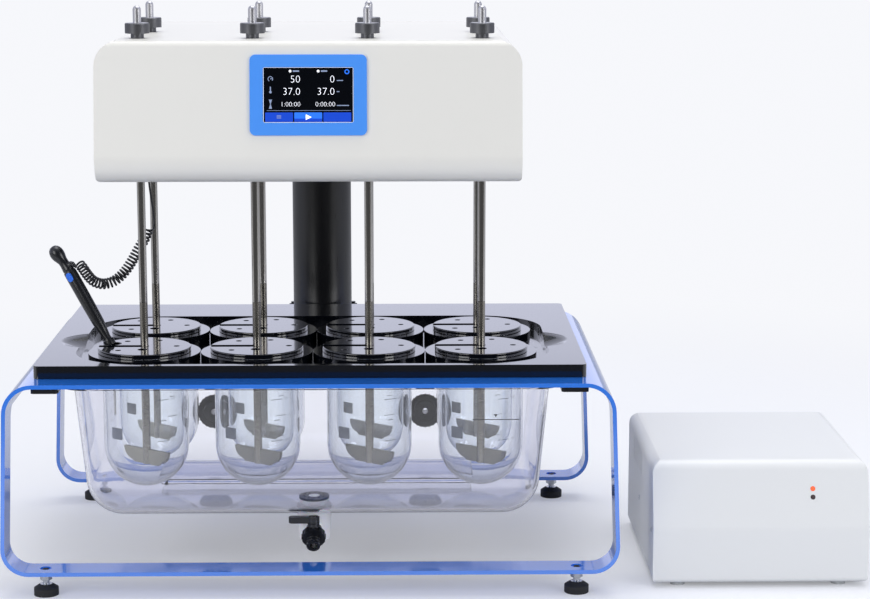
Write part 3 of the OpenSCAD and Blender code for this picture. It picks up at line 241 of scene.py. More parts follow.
# Finishes: name, base (one of the user's colours or a hex value), roughness, other sockets and grain
FINISHES = {
    # Gloss enamel on bent steel: saturated where it faces the eye, pale where it mirrors the room
    "enamel": ("Gloss blue enamel", "frame_blue", 0.18,
        dict(ior=1.5, coat=1, coat_ior=2.2, coat_roughness=0.06), dict(size=1.4, depth=0.004, gloss=0.15)),
    # Moulded ABS with a fine satin texture: soft, even highlight
    "bezel": ("Moulded blue ABS", "bezel_blue", 0.42, dict(ior=1.54), dict(size=0.5, depth=0.012)),
    # Polished phenolic laminate: black from above, a mirror of the pale room at a shallow angle
    "deck": ("Polished black laminate", "gloss_black", 0.13, dict(ior=1.52, coat=1, coat_roughness=0.06),
        dict(size=9, depth=0.003, gloss=0.2)),
    # Polypropylene with a spark-eroded texture: dull black with a broad grey sheen
    "black": ("Black polypropylene", "satin_black", 0.32, dict(ior=1.5, coat=0.35, coat_roughness=0.18),
        dict(size=0.7, depth=0.012, gloss=0.2)),
    # Extruded acetal: smooth and slightly waxy
    "rail": ("Black acetal", "satin_black", 0.3, dict(ior=1.48), dict(size=2.5, depth=0.01)),
    # Moulded nitrile rubber: dusty grey bloom on black
    "rubber": ("Nitrile rubber", "#26272A", 0.7, dict(ior=1.52), dict(size=1.2, depth=0.05, mottle=0.35)),
    # Zinc plate on hexagons and studs: cool, slightly cloudy metal
    "zinc": ("Bright zinc plate", "#C9CCD1", 0.24, dict(metallic=1), dict(size=2, depth=0.01, gloss=0.4)),
    # Centreless ground steel: fine rings round the shaft stretch each highlight along it
    "shaft": ("Ground stainless steel", "steel", 0.14, dict(metallic=1),
        dict(size=4, depth=0.0012, gloss=0.25, stretch=(0.5, 0.5, 12))),
    # Electropolished steel of the paddles' shafts, duller than the drive shafts
    "paddle": ("Electropolished steel", "#98948C", 0.26, dict(metallic=1),
        dict(size=4, depth=0.0012, gloss=0.25, stretch=(0.5, 0.5, 12))),
    # Tumbled steel of the rounded tips: soft and bright all round
    "tip": ("Tumbled stainless steel", "#C4C4C7", 0.42, dict(metallic=1), dict(size=1.2, depth=0.01)),
    # Bead blasted steel of the blades: even, warm grey without sharp highlights
    "blade": ("Bead blasted steel", "#B3AFA2", 0.4, dict(metallic=0.7),
        dict(size=0.8, depth=0.012, mottle=0.1)),
    # Black oxide on turned steel: dark grey, brighter where edges are broken
    "cap": ("Black oxide steel", "cap_grey", 0.42, dict(metallic=0.75),
        dict(size=0.9, depth=0.012, mottle=0.15)),
    # Textured powder coats: a fine orange peel softens every highlight
    "head coat": ("Warm white powder coat", "head_white", 0.4, dict(ior=1.5, coat=0.15, coat_roughness=0.2),
        dict(size=1.1, depth=0.03, gloss=0.1)),
    "heater coat": ("Cool white powder coat", "heater_white", 0.38,
        dict(ior=1.5, coat=0.15, coat_roughness=0.2), dict(size=1.1, depth=0.03, gloss=0.1)),
    # Hard anodised tube: deep black with a soft streak of light down each side
    "column": ("Hard anodised tube", "column_black", 0.3, dict(ior=1.6),
        dict(size=1.5, depth=0.012, gloss=0.2, stretch=(1, 1, 0.05))),
    # Moulded clear plastic: bright edges, and painted grey shade where its wall turns from the eye, standing
    # for its thick corners
    "bath": ("Clear copolyester", "#FDFDFF", 0.02, dict(ior=1.42, transmission=0.99),
        dict(size=60, depth=0.08)),
    # Blown glass: clean dark and bright lines where the wall turns from the eye, the dark ones partly
    # refraction and partly painted shade
    "glass": ("Borosilicate glass", "#FCFEFF", 0.0, dict(ior=1.47, transmission=1),
        dict(size=45, depth=0.03)),
    # Fired ceramic ink on glass: matt, pale grey, lets a little light through
    "mark": ("Fired grey ink", "mark_grey", 0.7, dict(alpha=0.8), dict(size=0.6, depth=0.01, mottle=0.15)),
    # Screen-printed line on plastic: thin, even black
    "print": ("Black screen print", "#15161A", 0.6, {}, dict(size=0.6, depth=0.01)),
    # Natural polypropylene of the drain's body: milky, light bleeds through it; its faint glow is painted
    # light that brightens it beyond what the lamps give
    "frosted": ("Natural polypropylene", "#F4F5FB", 0.36,
        dict(ior=1.49, scatter=0.2, scatter_scale=4 * MM, glow=0.12, glow_colour=linear("#F4F5FB")),
        dict(size=1.5, depth=0.02, mottle=0.08)),
    # Moulded blue push button: one soft highlight
    "button": ("Blue button", "#2F72E8", 0.32, dict(ior=1.5), dict(size=0.6, depth=0.01)),
    # Jacket of the curly cord: dark with a fine grey sheen
    "cord": ("Polyurethane jacket", "#1B1D22", 0.36, dict(ior=1.5, sheen=0.1), dict(size=0.6, depth=0.01)),
    # Bonded cover glass over a dark panel: deep black with a faint blue cast
    "screen": ("Display cover glass", "#04060B", 0.08, dict(ior=1.5), dict(size=80, depth=0.01)),
    # Milled and clear anodised aluminium inside the head: pale with drawn-out grain
    "aluminium": ("Clear anodised aluminium", "#A9ADB3", 0.35, dict(metallic=1),
        dict(size=3, depth=0.01, gloss=0.3, stretch=(8, 1, 1))),
    # Drawn and polished steel of bearings and lift tube
    "drawn": ("Drawn steel", "#C2C5CA", 0.22, dict(metallic=1),
        dict(size=4, depth=0.006, gloss=0.3, stretch=(4, 4, 1))),
    # Stoving enamel of the motor's shell: dull black, a little uneven
    "motor": ("Motor enamel", "#24272C", 0.45, {}, dict(size=1.2, depth=0.03, mottle=0.2)),
    # Neoprene belt: dull, with a dusting of chalk
    "belt": ("Neoprene", "#1B1C1F", 0.8, {}, dict(size=0.8, depth=0.05, mottle=0.4)),
    # Pale grey ABS of the heater's feet and floor: even and dull
    "base": ("Pale grey ABS", "#CDD0D2", 0.5, dict(ior=1.54), dict(size=0.8, depth=0.02)),
    # Drawn steel of the heater's chamber and hose tails: bright with cloudy gloss
    "hose": ("Bright stainless steel", "#B4B8BD", 0.25, dict(metallic=1),
        dict(size=2, depth=0.01, gloss=0.3)),
}
# Painted shade where clear walls turn from the eye: the tone and the blend of each
PAINTED_EDGE_SHADES = {"bath": ("#A9ABC6", 0.22), "glass": ("#9A9DB2", 0.22)}


@functools.cache
def finish(key):
    """Material of one of the finishes, made once."""
    name, base, roughness, sockets, texture = FINISHES[key]
    base = linear(base) if base.startswith("#") else getattr(colours(), base)
    material = grain(surface(name, base, roughness, **sockets), **texture)
    return painted_edge_shade(material, *PAINTED_EDGE_SHADES[key]) if key in PAINTED_EDGE_SHADES else material


def lit(name, code, strength):
    """Glowing surface: a lit part of the display, whose colour comes from behind the glass, or a painted
    highlight.
    """
    return surface(name, linear(code), 0.3, glow_colour=linear(code), glow=strength)


def lamp_lens(name, code, strength):
    """Acrylic lens of an indicator lamp."""
    return surface(name, linear(code), 0.12, ior=1.49, coat=0.5, glow_colour=linear(code), glow=strength)


# Making pieces


def linked(name, data):
    """New object of the scene."""
    made = bpy.data.objects.new(name, data)
    bpy.context.scene.collection.objects.link(made)
    return made


def curve_mesh(curve):
    """Mesh of a curve."""
    holder = linked(curve.name, curve)
    bpy.context.view_layer.update()
    mesh = bpy.data.meshes.new_from_object(holder.evaluated_get(bpy.context.evaluated_depsgraph_get()))
    bpy.data.objects.remove(holder)
    return mesh


def rounded(bm, edges, width, segments):
    """Rounds edges of a bmesh."""
    bmesh.ops.bevel(bm, geom=edges, offset=width, affect="EDGES", segments=segments, profile=0.5,
        material=-1)


def each_once(parts):
    """Parts of a bmesh in the order in which they first come, the same in every run."""
    return list(dict.fromkeys(parts))


def tinted(bm, old_faces, material):
    """Gives the faces that aren't old ones the number of a material."""
    for face in set(bm.faces) - old_faces:
        face.material_index = material


def piece(name, bm, materials, body="root", stands_for=(), sharp=SHARP, closed=True):
    """Turns a bmesh into a finished object that rides on a body. A material is one or a finish's name."""
    bmesh.ops.remove_doubles(bm, verts=bm.verts, dist=MERGE)
    if closed:
        bmesh.ops.recalc_face_normals(bm, faces=bm.faces)
    for face in bm.faces:
        face.smooth = True
    for edge in bm.edges:
        edge.smooth = edge.calc_face_angle(0) < math.radians(sharp)
    mesh = bpy.data.meshes.new(name)
    bm.to_mesh(mesh)
    bm.free()
    for material in materials:
        mesh.materials.append(finish(material) if isinstance(material, str) else material)
    made = linked(name, mesh)
    if stands_for:
        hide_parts(*stands_for)
    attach(made, body)
    return made


def soften(made, width, segments=3):
    """Rounds the sharp edges of a piece, as moulding, bending or deburring leaves them."""
    edge = made.modifiers.new("Rounded edges", "BEVEL")
    edge.width = width
    edge.segments = segments
    edge.limit_method = "ANGLE"
    edge.angle_limit = math.radians(SHARP)
    # Wide faces keep their own direction, so that narrow ones beside them take up the turn
    even = made.modifiers.new("Even shading", "WEIGHTED_NORMAL")
    even.keep_sharp = True
    return made


def dressed(name, node, materials, edge, body="root", paint=None):
    """Copy of a frame node with its triangles merged into faces and its edges rounded. paint gives the
    number of the material from a face's middle."""
    bm = bmesh.new()
    bm.from_mesh(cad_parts[node].data)
    bmesh.ops.remove_doubles(bm, verts=bm.verts, dist=MERGE)
    bmesh.ops.dissolve_limit(bm, angle_limit=math.radians(FLAT), verts=bm.verts, edges=bm.edges)
    for face in bm.faces:
        face.material_index = paint(face.calc_center_median()) if paint else 0
    made = piece(name, bm, materials, body, (node,), closed=False)
    return soften(made, edge) if edge else made


def coat(**finishes):
    """Gives frame nodes that show as they are their finishes."""
    for node, key in finishes.items():
        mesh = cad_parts[node].data
        mesh.materials.clear()
        mesh.materials.append(finish(key))


def arc(x, z, radius, start, end, steps):
    """Points (x, z) on an arc between two angles in degrees."""
    return [(x + radius * math.cos(math.radians(start + (end - start) * i / steps)),
        z + radius * math.sin(math.radians(start + (end - start) * i / steps))) for i in range(steps + 1)]


def spun(bm, outline, steps, matrix=Matrix(), material=0):
    """Turns an outline of (radius, height) points full circle about Z, then places it by a matrix."""
    before, old_faces = set(bm.verts), set(bm.faces)
    verts = [bm.verts.new((radius, 0, z)) for radius, z in outline]
    edges = [bm.edges.new(pair) for pair in zip(verts, verts[1:])]
    if outline[0][0] > 0 and outline[0] != outline[-1]:
        edges.append(bm.edges.new((verts[-1], verts[0])))
    bmesh.ops.spin(bm, geom=verts + edges, axis=(0, 0, 1), cent=(0, 0, 0), steps=steps,
        angle=math.tau, use_merge=True)
    made = [v for v in bm.verts if v not in before]
    bmesh.ops.transform(bm, matrix=matrix, verts=made)
    tinted(bm, old_faces, material)


def lofted(bm, rings, sides, material=0):
    """Skin over circles, each a (middle, direction, radius), with both ends closed."""
    old_faces = set(bm.faces)
    loops = []
    for centre, direction, radius in rings:
        turn = Vector(direction).to_track_quat("Z", "Y").to_matrix().to_4x4()
        circle = bmesh.ops.create_circle(bm, segments=sides, radius=radius,
            matrix=Matrix.Translation(centre) @ turn)["verts"]
        loops.append(each_once(edge for vert in circle for edge in vert.link_edges))
    for low, high in zip(loops, loops[1:]):
        bmesh.ops.bridge_loops(bm, edges=low + high)
    for end in (loops[0], loops[-1]):
        bmesh.ops.edgeloop_fill(bm, edges=end)
    tinted(bm, old_faces, material)


def block(bm, low, high, matrix=Matrix(), material=0):
    """Box between two corners, placed by a matrix."""
    low, high = Vector(low), Vector(high)
    made = bmesh.ops.create_cube(bm, size=1, matrix=matrix @ Matrix.Translation((low + high) / 2)
        @ Matrix.Diagonal((high - low).to_4d()))["verts"]
    for face in {face for vert in made for face in vert.link_faces}:
        face.material_index = material
    return made


def lettering(bm, words, height, matrix, material, align="RIGHT", depth=0.03 * MM):
    """Raised figures of a cap height, whose baseline starts at the origin of the matrix."""
    curve = bpy.data.curves.new("figures", "FONT")
    curve.body = words
    curve.size = height / FONT_CAP_SHARE
    curve.align_x = align
    curve.extrude = depth
    curve.resolution_u = 3
    curve.offset = -FONT_THINNING * curve.size
    mesh = curve_mesh(curve)
    mesh.transform(matrix)
    old_faces = set(bm.faces)
    bm.from_mesh(mesh)
    bpy.data.meshes.remove(mesh)
    tinted(bm, old_faces, material)


# Cap height of Blender's own font, as a share of the size of the type
FONT_CAP_SHARE = 0.73
# Share of the size of the type that comes off its outlines, because the font is a heavy one
FONT_THINNING = 0.026


def facing(node):
    """Frame of the widest flat side of a node that faces the front: its X runs along the side, its Y up it
    and its Z out of it."""
    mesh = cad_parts[node].data
    sides = {}
    for face in mesh.polygons:
        if face.normal.y < -0.7:
            key = tuple(round(c, 2) for c in face.normal)
            sides.setdefault(key, []).append(face)
    faces = max(sides.values(), key=lambda group: sum(face.area for face in group))
    out = sum((face.normal * face.area for face in faces), Vector()).normalized()
    corners = [mesh.vertices[i].co for face in faces for i in face.vertices]
    low = Vector([min(c[i] for c in corners) for i in range(3)])
    high = Vector([max(c[i] for c in corners) for i in range(3)])
    across = Vector((1, 0, 0))
    up = out.cross(across).normalized()
    turn = Matrix((across, up, out)).transposed().to_4x4()
    return Matrix.Translation((low + high) / 2) @ turn


class Step:
    """What every operator here shares."""

    bl_options = {"REGISTER", "UNDO"}


# Stage

CAMERA_PLACE = (-0.05043, -2.85677, 0.82337)
CAMERA_TURN = (math.pi / 2 - 0.1749, 0, -0.0177)
CAMERA_LENS = 91.26
CAMERA_SENSOR = 36
FLOOR_SIZE = 80
GLASS_BOUNCES = 32
# Levels of the room: what lights matt surfaces, the backdrop, the dark front and the ceiling in gloss
ROOM_LIGHT = 0.56
BACKDROP_LIGHT = 0.97
MIRRORED_BACKDROP = 1.2
STUDIO_DARK = 0.09
CEILING_LIGHT = 0.66
FLOOR_LIFT = 0.27
BACKDROP_WHITE = linear("#FAFBFF")
MIRRORED_WHITE = linear("#DFE2F6")
# Sines of the elevations between which the mirrored backdrop ends
BACKDROP_EDGE = (0.19, 0.25)
# Depths between which the studio's dark front ends, in directions and on the bench
STUDIO_EDGE = (-0.8, -0.3)
# Depths and distances in metres between which the bench's front lights up and its edge fades
BENCH_FRONT = (-1.5, -0.55)
BENCH_EDGE = (0.7, 1.9)
# Point that the soft boxes face
LIT_POINT = Vector((0, 0, 0.35))

# Soft boxes: name, place in metres, size in metres, watts
SOFT_BOXES = [
    ("left box", (-2.0, -2.2, 1.25), 1.4, 23),
    ("right box", (2.3, -2.0, 1.15), 1.2, 20),
    ("top box", (0.1, 0.3, 2.9), 2.2, 40),
]


class TESTER_OT_stage(Step, bpy.types.Operator):
    """Floor, surroundings, soft boxes and the camera at the photograph's place"""

    bl_idname = "tester.stage"
    bl_label = "Stage"

    def execute(self, context):
        self.camera(context.scene)
        self.surroundings(context.scene)
        self.floor()
        for name, spot, size, watts in SOFT_BOXES:
            self.soft_box(name, Vector(spot), size, watts)
        return {"FINISHED"}

    def camera(self, scene):
        lens = bpy.data.cameras.new("camera")
        lens.lens = CAMERA_LENS
        lens.sensor_width = CAMERA_SENSOR
        lens.clip_end = 2 * FLOOR_SIZE
        scene.camera = linked("camera", lens)
        scene.camera.location = CAMERA_PLACE
        scene.camera.rotation_euler = CAMERA_TURN
        scene.view_settings.view_transform = "Standard"
        scene.cycles.max_bounces = GLASS_BOUNCES
        scene.cycles.transmission_bounces = GLASS_BOUNCES

    def surroundings(self, scene):
        """A white backdrop of some height behind the object and dark studio behind the camera, as mirrored by
        gloss; plain white for what is seen directly or through glass."""
        world = bpy.data.worlds.new("Studio")
        scene.world = world
        world.use_nodes = True
        tree = world.node_tree
        tree.nodes.clear()
        path = add_node(tree, "ShaderNodeLightPath")
        way = add_node(tree, "ShaderNodeTexCoord")
        axes = add_node(tree, "ShaderNodeSeparateXYZ", inputs={"Vector": way.outputs["Generated"]})
        front = add_node(tree, "ShaderNodeMapRange", {"interpolation_type": "SMOOTHSTEP"},
            {"Value": axes.outputs["Y"], "From Min": STUDIO_EDGE[0], "From Max": STUDIO_EDGE[1],
            "To Min": STUDIO_DARK, "To Max": MIRRORED_BACKDROP})
        above = add_node(tree, "ShaderNodeMapRange", {"interpolation_type": "SMOOTHSTEP"},
            {"Value": axes.outputs["Z"], "From Min": BACKDROP_EDGE[0], "From Max": BACKDROP_EDGE[1],
            "To Min": 1, "To Max": CEILING_LIGHT})
        mirrored = add_node(tree, "ShaderNodeMath", {"operation": "MULTIPLY"},
            {0: front.outputs["Result"], 1: above.outputs["Result"]})
        level = add_node(tree, "ShaderNodeMix", {"data_type": "FLOAT"},
            {0: path.outputs["Is Glossy Ray"], 2: ROOM_LIGHT, 3: mirrored.outputs["Value"]})
        clear = add_node(tree, "ShaderNodeMath", {"operation": "MAXIMUM"},
            {0: path.outputs["Is Camera Ray"], 1: path.outputs["Is Transmission Ray"]})
        strength = add_node(tree, "ShaderNodeMix", {"data_type": "FLOAT"},
            {0: clear.outputs["Value"], 2: level.outputs[0], 3: BACKDROP_LIGHT})
        tint = add_node(tree, "ShaderNodeMix", {"data_type": "RGBA"},
            {0: path.outputs["Is Glossy Ray"], 6: BACKDROP_WHITE, 7: MIRRORED_WHITE})
        back = add_node(tree, "ShaderNodeBackground",
            inputs={"Color": tint.outputs[2], "Strength": strength.outputs[0]})
        add_node(tree, "ShaderNodeOutputWorld", inputs={"Surface": back.outputs["Background"]})

    def floor(self):
        """Pale matt bench that keeps the object's shadow and runs into the backdrop far from it. In gloss its
        front is as dark as the studio there, which gives steel its dark core."""
        material = grain(surface("Pale matt bench", linear("#D6D8DE"), 0.75, ior=1.4), size=40, depth=0.05,
            mottle=0.02)
        tree = material.node_tree
        bench = tree.nodes["Principled BSDF"]
        path = add_node(tree, "ShaderNodeLightPath")
        seen = add_node(tree, "ShaderNodeMath", {"operation": "MAXIMUM"},
            {0: path.outputs["Is Camera Ray"], 1: path.outputs["Is Transmission Ray"]})
        spot = add_node(tree, "ShaderNodeTexCoord")
        axes = add_node(tree, "ShaderNodeSeparateXYZ", inputs={"Vector": spot.outputs["Object"]})
        # The bench fades into the backdrop with its distance, and into the dark studio in gloss
        reach = add_node(tree, "ShaderNodeVectorMath", {"operation": "LENGTH"}, {0: spot.outputs["Object"]})
        far = add_node(tree, "ShaderNodeMapRange", {"interpolation_type": "SMOOTHSTEP"},
            {"Value": reach.outputs["Value"], "From Min": BENCH_EDGE[0], "From Max": BENCH_EDGE[1]})
        plain = add_node(tree, "ShaderNodeMath", {"operation": "MULTIPLY"},
            {0: seen.outputs["Value"], 1: far.outputs["Result"]})
        ahead = add_node(tree, "ShaderNodeMapRange", {"interpolation_type": "SMOOTHSTEP"},
            {"Value": axes.outputs["Y"], "From Min": STUDIO_EDGE[0], "From Max": STUDIO_EDGE[1],
            "To Min": 1, "To Max": 0})
        dark = add_node(tree, "ShaderNodeMath", {"operation": "MULTIPLY"},
            {0: path.outputs["Is Glossy Ray"], 1: ahead.outputs["Result"]})
        share = add_node(tree, "ShaderNodeMath", {"operation": "MAXIMUM"},
            {0: plain.outputs["Value"], 1: dark.outputs["Value"]})
        front = add_node(tree, "ShaderNodeMapRange", {"interpolation_type": "SMOOTHSTEP"},
            {"Value": axes.outputs["Y"], "From Min": BENCH_FRONT[0], "From Max": BENCH_FRONT[1],
            "To Min": STUDIO_DARK, "To Max": 1})
        glow = add_node(tree, "ShaderNodeMix", {"data_type": "FLOAT"},
            {0: path.outputs["Is Glossy Ray"], 2: BACKDROP_LIGHT, 3: front.outputs["Result"]})
        backdrop = add_node(tree, "ShaderNodeEmission",
            inputs={"Color": BACKDROP_WHITE, "Strength": glow.outputs[0]})
        # What is seen of the bench itself is a little lighter than its lamps make it
        lift = add_node(tree, "ShaderNodeMath", {"operation": "MULTIPLY"},
            {0: seen.outputs["Value"], 1: FLOOR_LIFT})
        haze = add_node(tree, "ShaderNodeEmission",
            inputs={"Color": BACKDROP_WHITE, "Strength": lift.outputs["Value"]})
        lifted = add_node(tree, "ShaderNodeAddShader",
            inputs={0: bench.outputs["BSDF"], 1: haze.outputs["Emission"]})
        both = add_node(tree, "ShaderNodeMixShader",
            inputs={0: share.outputs["Value"], 1: lifted.outputs["Shader"], 2: backdrop.outputs["Emission"]})
        tree.links.new(both.outputs["Shader"], tree.nodes["Material Output"].inputs["Surface"])
        bm = bmesh.new()
        bmesh.ops.create_grid(bm, x_segments=2, y_segments=2, size=FLOOR_SIZE / 2)
        mesh = bpy.data.meshes.new("bench_top")
        bm.to_mesh(mesh)
        bm.free()
        mesh.materials.append(material)
        linked("bench_top", mesh)

    def soft_box(self, name, spot, size, watts):
        lamp = bpy.data.lights.new(name, "AREA")
        lamp.shape = "SQUARE"
        lamp.size = size
        lamp.energy = watts
        holder = linked(name, lamp)
        holder.location = spot
        holder.rotation_euler = (spot - LIT_POINT).to_track_quat("Z", "Y").to_euler()


# Probe and its cord

# Route of the cord, in millimetres from the middle of the stations
CORD_ROUTE = [(-303, -35, 385), (-300, -36, 387), (-295, -36, 387), (-290, -33, 381), (-285, -27, 371),
    (-278, -19, 361), (-267, -10, 356), (-254, -4, 359), (-242, -1, 369), (-232, 0, 383), (-223, 0, 399),
    (-214, 0, 414), (-209, 0, 430), (-208, 0, 446), (-208, 0, 470), (-208, 0, 493.5)]
CORD_SPANS = len(CORD_ROUTE) - 1
# Spans between which the cord is curled, and the cells in which their length is measured
CURL_SPAN = (2.3, 11.7)
CURL_CELLS = 120
# Points of the line in a curl, in an end and under the sleeve
CURL_POINTS = 24
TAIL_POINTS = 16
SLEEVE_POINTS = 11

# The wand stands on the rim of the first vessel and leans to the left
WAND_FOOT = (-45, 18, 6.6)
WAND_LEAN = (-62, 22, 108)
# Wand from its foot: share of the length, bend to the left and radius in wand radii
WAND_RINGS = [(-0.035, 0, 0.62), (-0.02, 0, 0.9), (0.03, 0, 0.98), (0.04, 0, 0.94), (0.045, 0, 0.7),
    (0.07, 0, 0.66), (0.14, 0, 0.8), (0.24, 0, 1), (0.4, 0, 1.08), (0.6, 0, 1.1), (0.8, 0, 1.1),
    (0.82, -0.02, 1.06), (0.826, -0.02, 0.96), (0.836, -0.03, 0.96), (0.842, -0.03, 1.0),
    (0.86, -0.06, 0.94), (0.9, -0.13, 0.84), (0.935, -0.2, 0.84), (0.96, -0.28, 0.98), (0.985, -0.35, 1.13),
    (1.01, -0.42, 1.21), (1.035, -0.48, 1.2), (1.06, -0.54, 1.08), (1.08, -0.59, 0.86), (1.095, -0.62, 0.54),
    (1.1, -0.64, 0.2)]
# Sensor rod: length, distance from the wand's foot and width, in millimetres
ROD_LENGTH = 92
ROD_SIDE = 4
ROD_WIDTH = 3


def route(u):
    """Point of the smooth route at u spans from its first point, in millimetres."""
    i = min(int(u), CORD_SPANS - 1)
    t = u - i
    a, b, c, d = (Vector(CORD_ROUTE[k]) for k in (max(i - 1, 0), i, i + 1, min(i + 2, CORD_SPANS)))
    return 0.5 * (2 * b + (c - a) * t + (2 * a - 5 * b + 4 * c - d) * t ** 2
        + (3 * b - a - 3 * c + d) * t ** 3)


def route_way(u):
    """Direction of the route."""
    step = 0.01
    return (route(min(u + step, CORD_SPANS)) - route(max(u - step, 0))).normalized()


def cord_line():
    """The cord's whole line: straight at both ends, an even helix along the route between them."""
    first, last = CURL_SPAN
    curls = sizes().curls
    cells = [first + (last - first) * i / CURL_CELLS for i in range(CURL_CELLS + 1)]
    run = [0.0]
    for low, high in zip(cells, cells[1:]):
        run.append(run[-1] + (route(high) - route(low)).length)

    def at_length(s):
        k = max(i for i in range(CURL_CELLS) if run[i] <= s)
        return cells[k] + (cells[k + 1] - cells[k]) * (s - run[k]) / (run[k + 1] - run[k])

    line = []
    count = curls * CURL_POINTS
    for i in range(count + 1):
        u = at_length(min(run[-1] * i / count, run[-1] * (1 - 1e-9)))
        way = route_way(u)
        side = way.cross(Vector((0, 1, 0))).normalized()
        rise = way.cross(side)
        turn = math.tau * i / CURL_POINTS + math.pi
        line.append(route(u) + sizes().curl / MM * (math.cos(turn) * side + math.sin(turn) * rise))
    into = (line[1] - line[0]).normalized()
    out = (line[-1] - line[-2]).normalized()
    line = tail(route(0), route_way(0), line[0], into) + line[:-1] \
        + tail(line[-1], out, route(CORD_SPANS), route_way(CORD_SPANS)) + [route(CORD_SPANS)]
    return [place(*point) for point in line]


def tail(start, start_way, end, end_way):
    """Easy bend between two points with a direction at each; its last point is left to what follows."""
    reach = (end - start).length
    points = []
    for i in range(TAIL_POINTS):
        t = i / TAIL_POINTS
        points.append((1 + 2 * t) * (1 - t) ** 2 * start + t * (1 - t) ** 2 * reach * start_way
            + t * t * (3 - 2 * t) * end + t * t * (t - 1) * reach * end_way)
    return points


class TESTER_OT_cord(Step, bpy.types.Operator):
    """Curly cord from the probe's wand up to the gland under the head"""

    bl_idname = "tester.cord"
    bl_label = "Probe cord"

    def execute(self, context):
        line = cord_line()
        curve = bpy.data.curves.new("probe_lead", "CURVE")
        curve.dimensions = "3D"
        curve.bevel_depth = sizes().cord / 2
        curve.bevel_resolution = 3
        curve.use_fill_caps = True
        spline = curve.splines.new("POLY")
        spline.points.add(len(line) - 1)
        for point, spot in zip(spline.points, line):
            point.co = (*spot, 1)
        mesh = curve_mesh(curve)
        for face in mesh.polygons:
            face.use_smooth = True
        mesh.materials.clear()
        mesh.materials.append(finish("cord"))
        lead = linked("probe_lead", mesh)
        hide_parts("probe_cord")
        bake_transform(lead)
        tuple(line[0])
        sum((b - a).length for a, b in zip(line, line[1:]))
        return {"FINISHED"}


class TESTER_OT_probe(Step, bpy.types.Operator):
    """Temperature probe: wand with its sensor rod, tapered cord sleeve and blue button"""

    bl_idname = "tester.probe"
    bl_label = "Probe"

    def execute(self, context):
        foot = middle("vessel_1")
        foot.z = deck_top()
        foot += Vector(WAND_FOOT) * MM
        lean = Vector(WAND_LEAN) * MM
        radius = sizes().wand / 2
        line = []
        for share, bend, size in WAND_RINGS:
            line.append((foot + lean * share + Vector((bend * radius, 0, 0)), size * radius))
        bm = bmesh.new()
        ways = [line[min(i + 1, len(line) - 1)][0] - line[max(i - 1, 0)][0] for i in range(len(line))]
        lofted(bm, [(spot, way, size) for (spot, size), way in zip(line, ways)], 32)
        # Sensor rod, which hangs straight down clear of the blade
        flat = Vector((lean.x, lean.y, 0)).normalized()
        head = foot - flat * ROD_SIDE * MM
        rod = ROD_WIDTH * MM / 2
        drop = Vector((0, 0, -ROD_LENGTH * MM))
        tip = head + drop
        lofted(bm, [(head, drop, rod), (tip - drop * 0.02, drop, rod), (tip - drop * 0.008, drop, rod * 0.75),
            (tip, drop, rod * 0.3)], 20, material=1)
        piece("probe_handle", bm, ["black", "shaft"], stands_for=["probe_wand"])
        self.sleeve()
        dressed("probe_push", "probe_button", ["button"], 0.5 * MM, "probe_button")
        return {"FINISHED"}

    def sleeve(self):
        """Ribbed sleeve that tapers from the handle on to the cord."""
        line = cord_line()[:SLEEVE_POINTS]
        way = (line[1] - line[0]).normalized()
        line = [line[0] - way * back * MM for back in (6, 4, 2)] + line
        rings = []
        for i in range(1, len(line) - 1):
            share = i / len(line)
            rib = 0.3 if i % 2 and 3 < i < len(line) - 4 else 0
            rings.append((line[i], line[i + 1] - line[i - 1], (5.2 - 3.2 * share - rib) * MM))
        bm = bmesh.new()
        lofted(bm, rings, 24)
        piece("probe_sleeve", bm, ["black"])


# Stand, rails and feet


def deck_top():
    """Height of the vessel plate's top."""
    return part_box("vessel_plate")[1].z


class TESTER_OT_stand(Step, bpy.types.Operator):
    """Bent blue stand with its rails and levelling feet"""

    bl_idname = "tester.stand"
    bl_label = "Stand"

    # Height at which a foot's rubber ends and its steel begins
    rubber_top = 14.2 * MM

    # Plug in the hole of a strap, over the stud: radius, and heights of its ends, in millimetres
    plug_radius = 3.7
    plug_ends = (31.5, 32.7)

    def execute(self, context):
        dressed("stand_sheet", "frame_stand", ["enamel"], sizes().sheet_edge)
        dressed("rail_pair", "bath_rails", ["rail"], sizes().moulded_edge)
        for n in range(1, 5):
            stud = middle(f"foot_{n}")

            def paint(spot, stud=stud):
                near = (spot - stud).to_2d().length < 4.2 * MM
                return 1 if near or spot.z > self.rubber_top else 0

            dressed(f"level_{n}", f"foot_{n}", ["rubber", "zinc"], sizes().moulded_edge,
                f"foot_{n}", paint)
            self.plug(n, stud)
        return {"FINISHED"}

    def plug(self, n, stud):
        low, high = self.plug_ends
        radius = self.plug_radius
        bm = bmesh.new()
        spun(bm, [(0, low), (radius, low), (radius, high - 0.3), (radius - 0.3, high), (0, high)], 24,
            Matrix.Translation((stud.x, stud.y, 0)) @ IN_MM)
        piece(f"level_plug_{n}", bm, ["rubber"], f"foot_{n}")


# Water bath


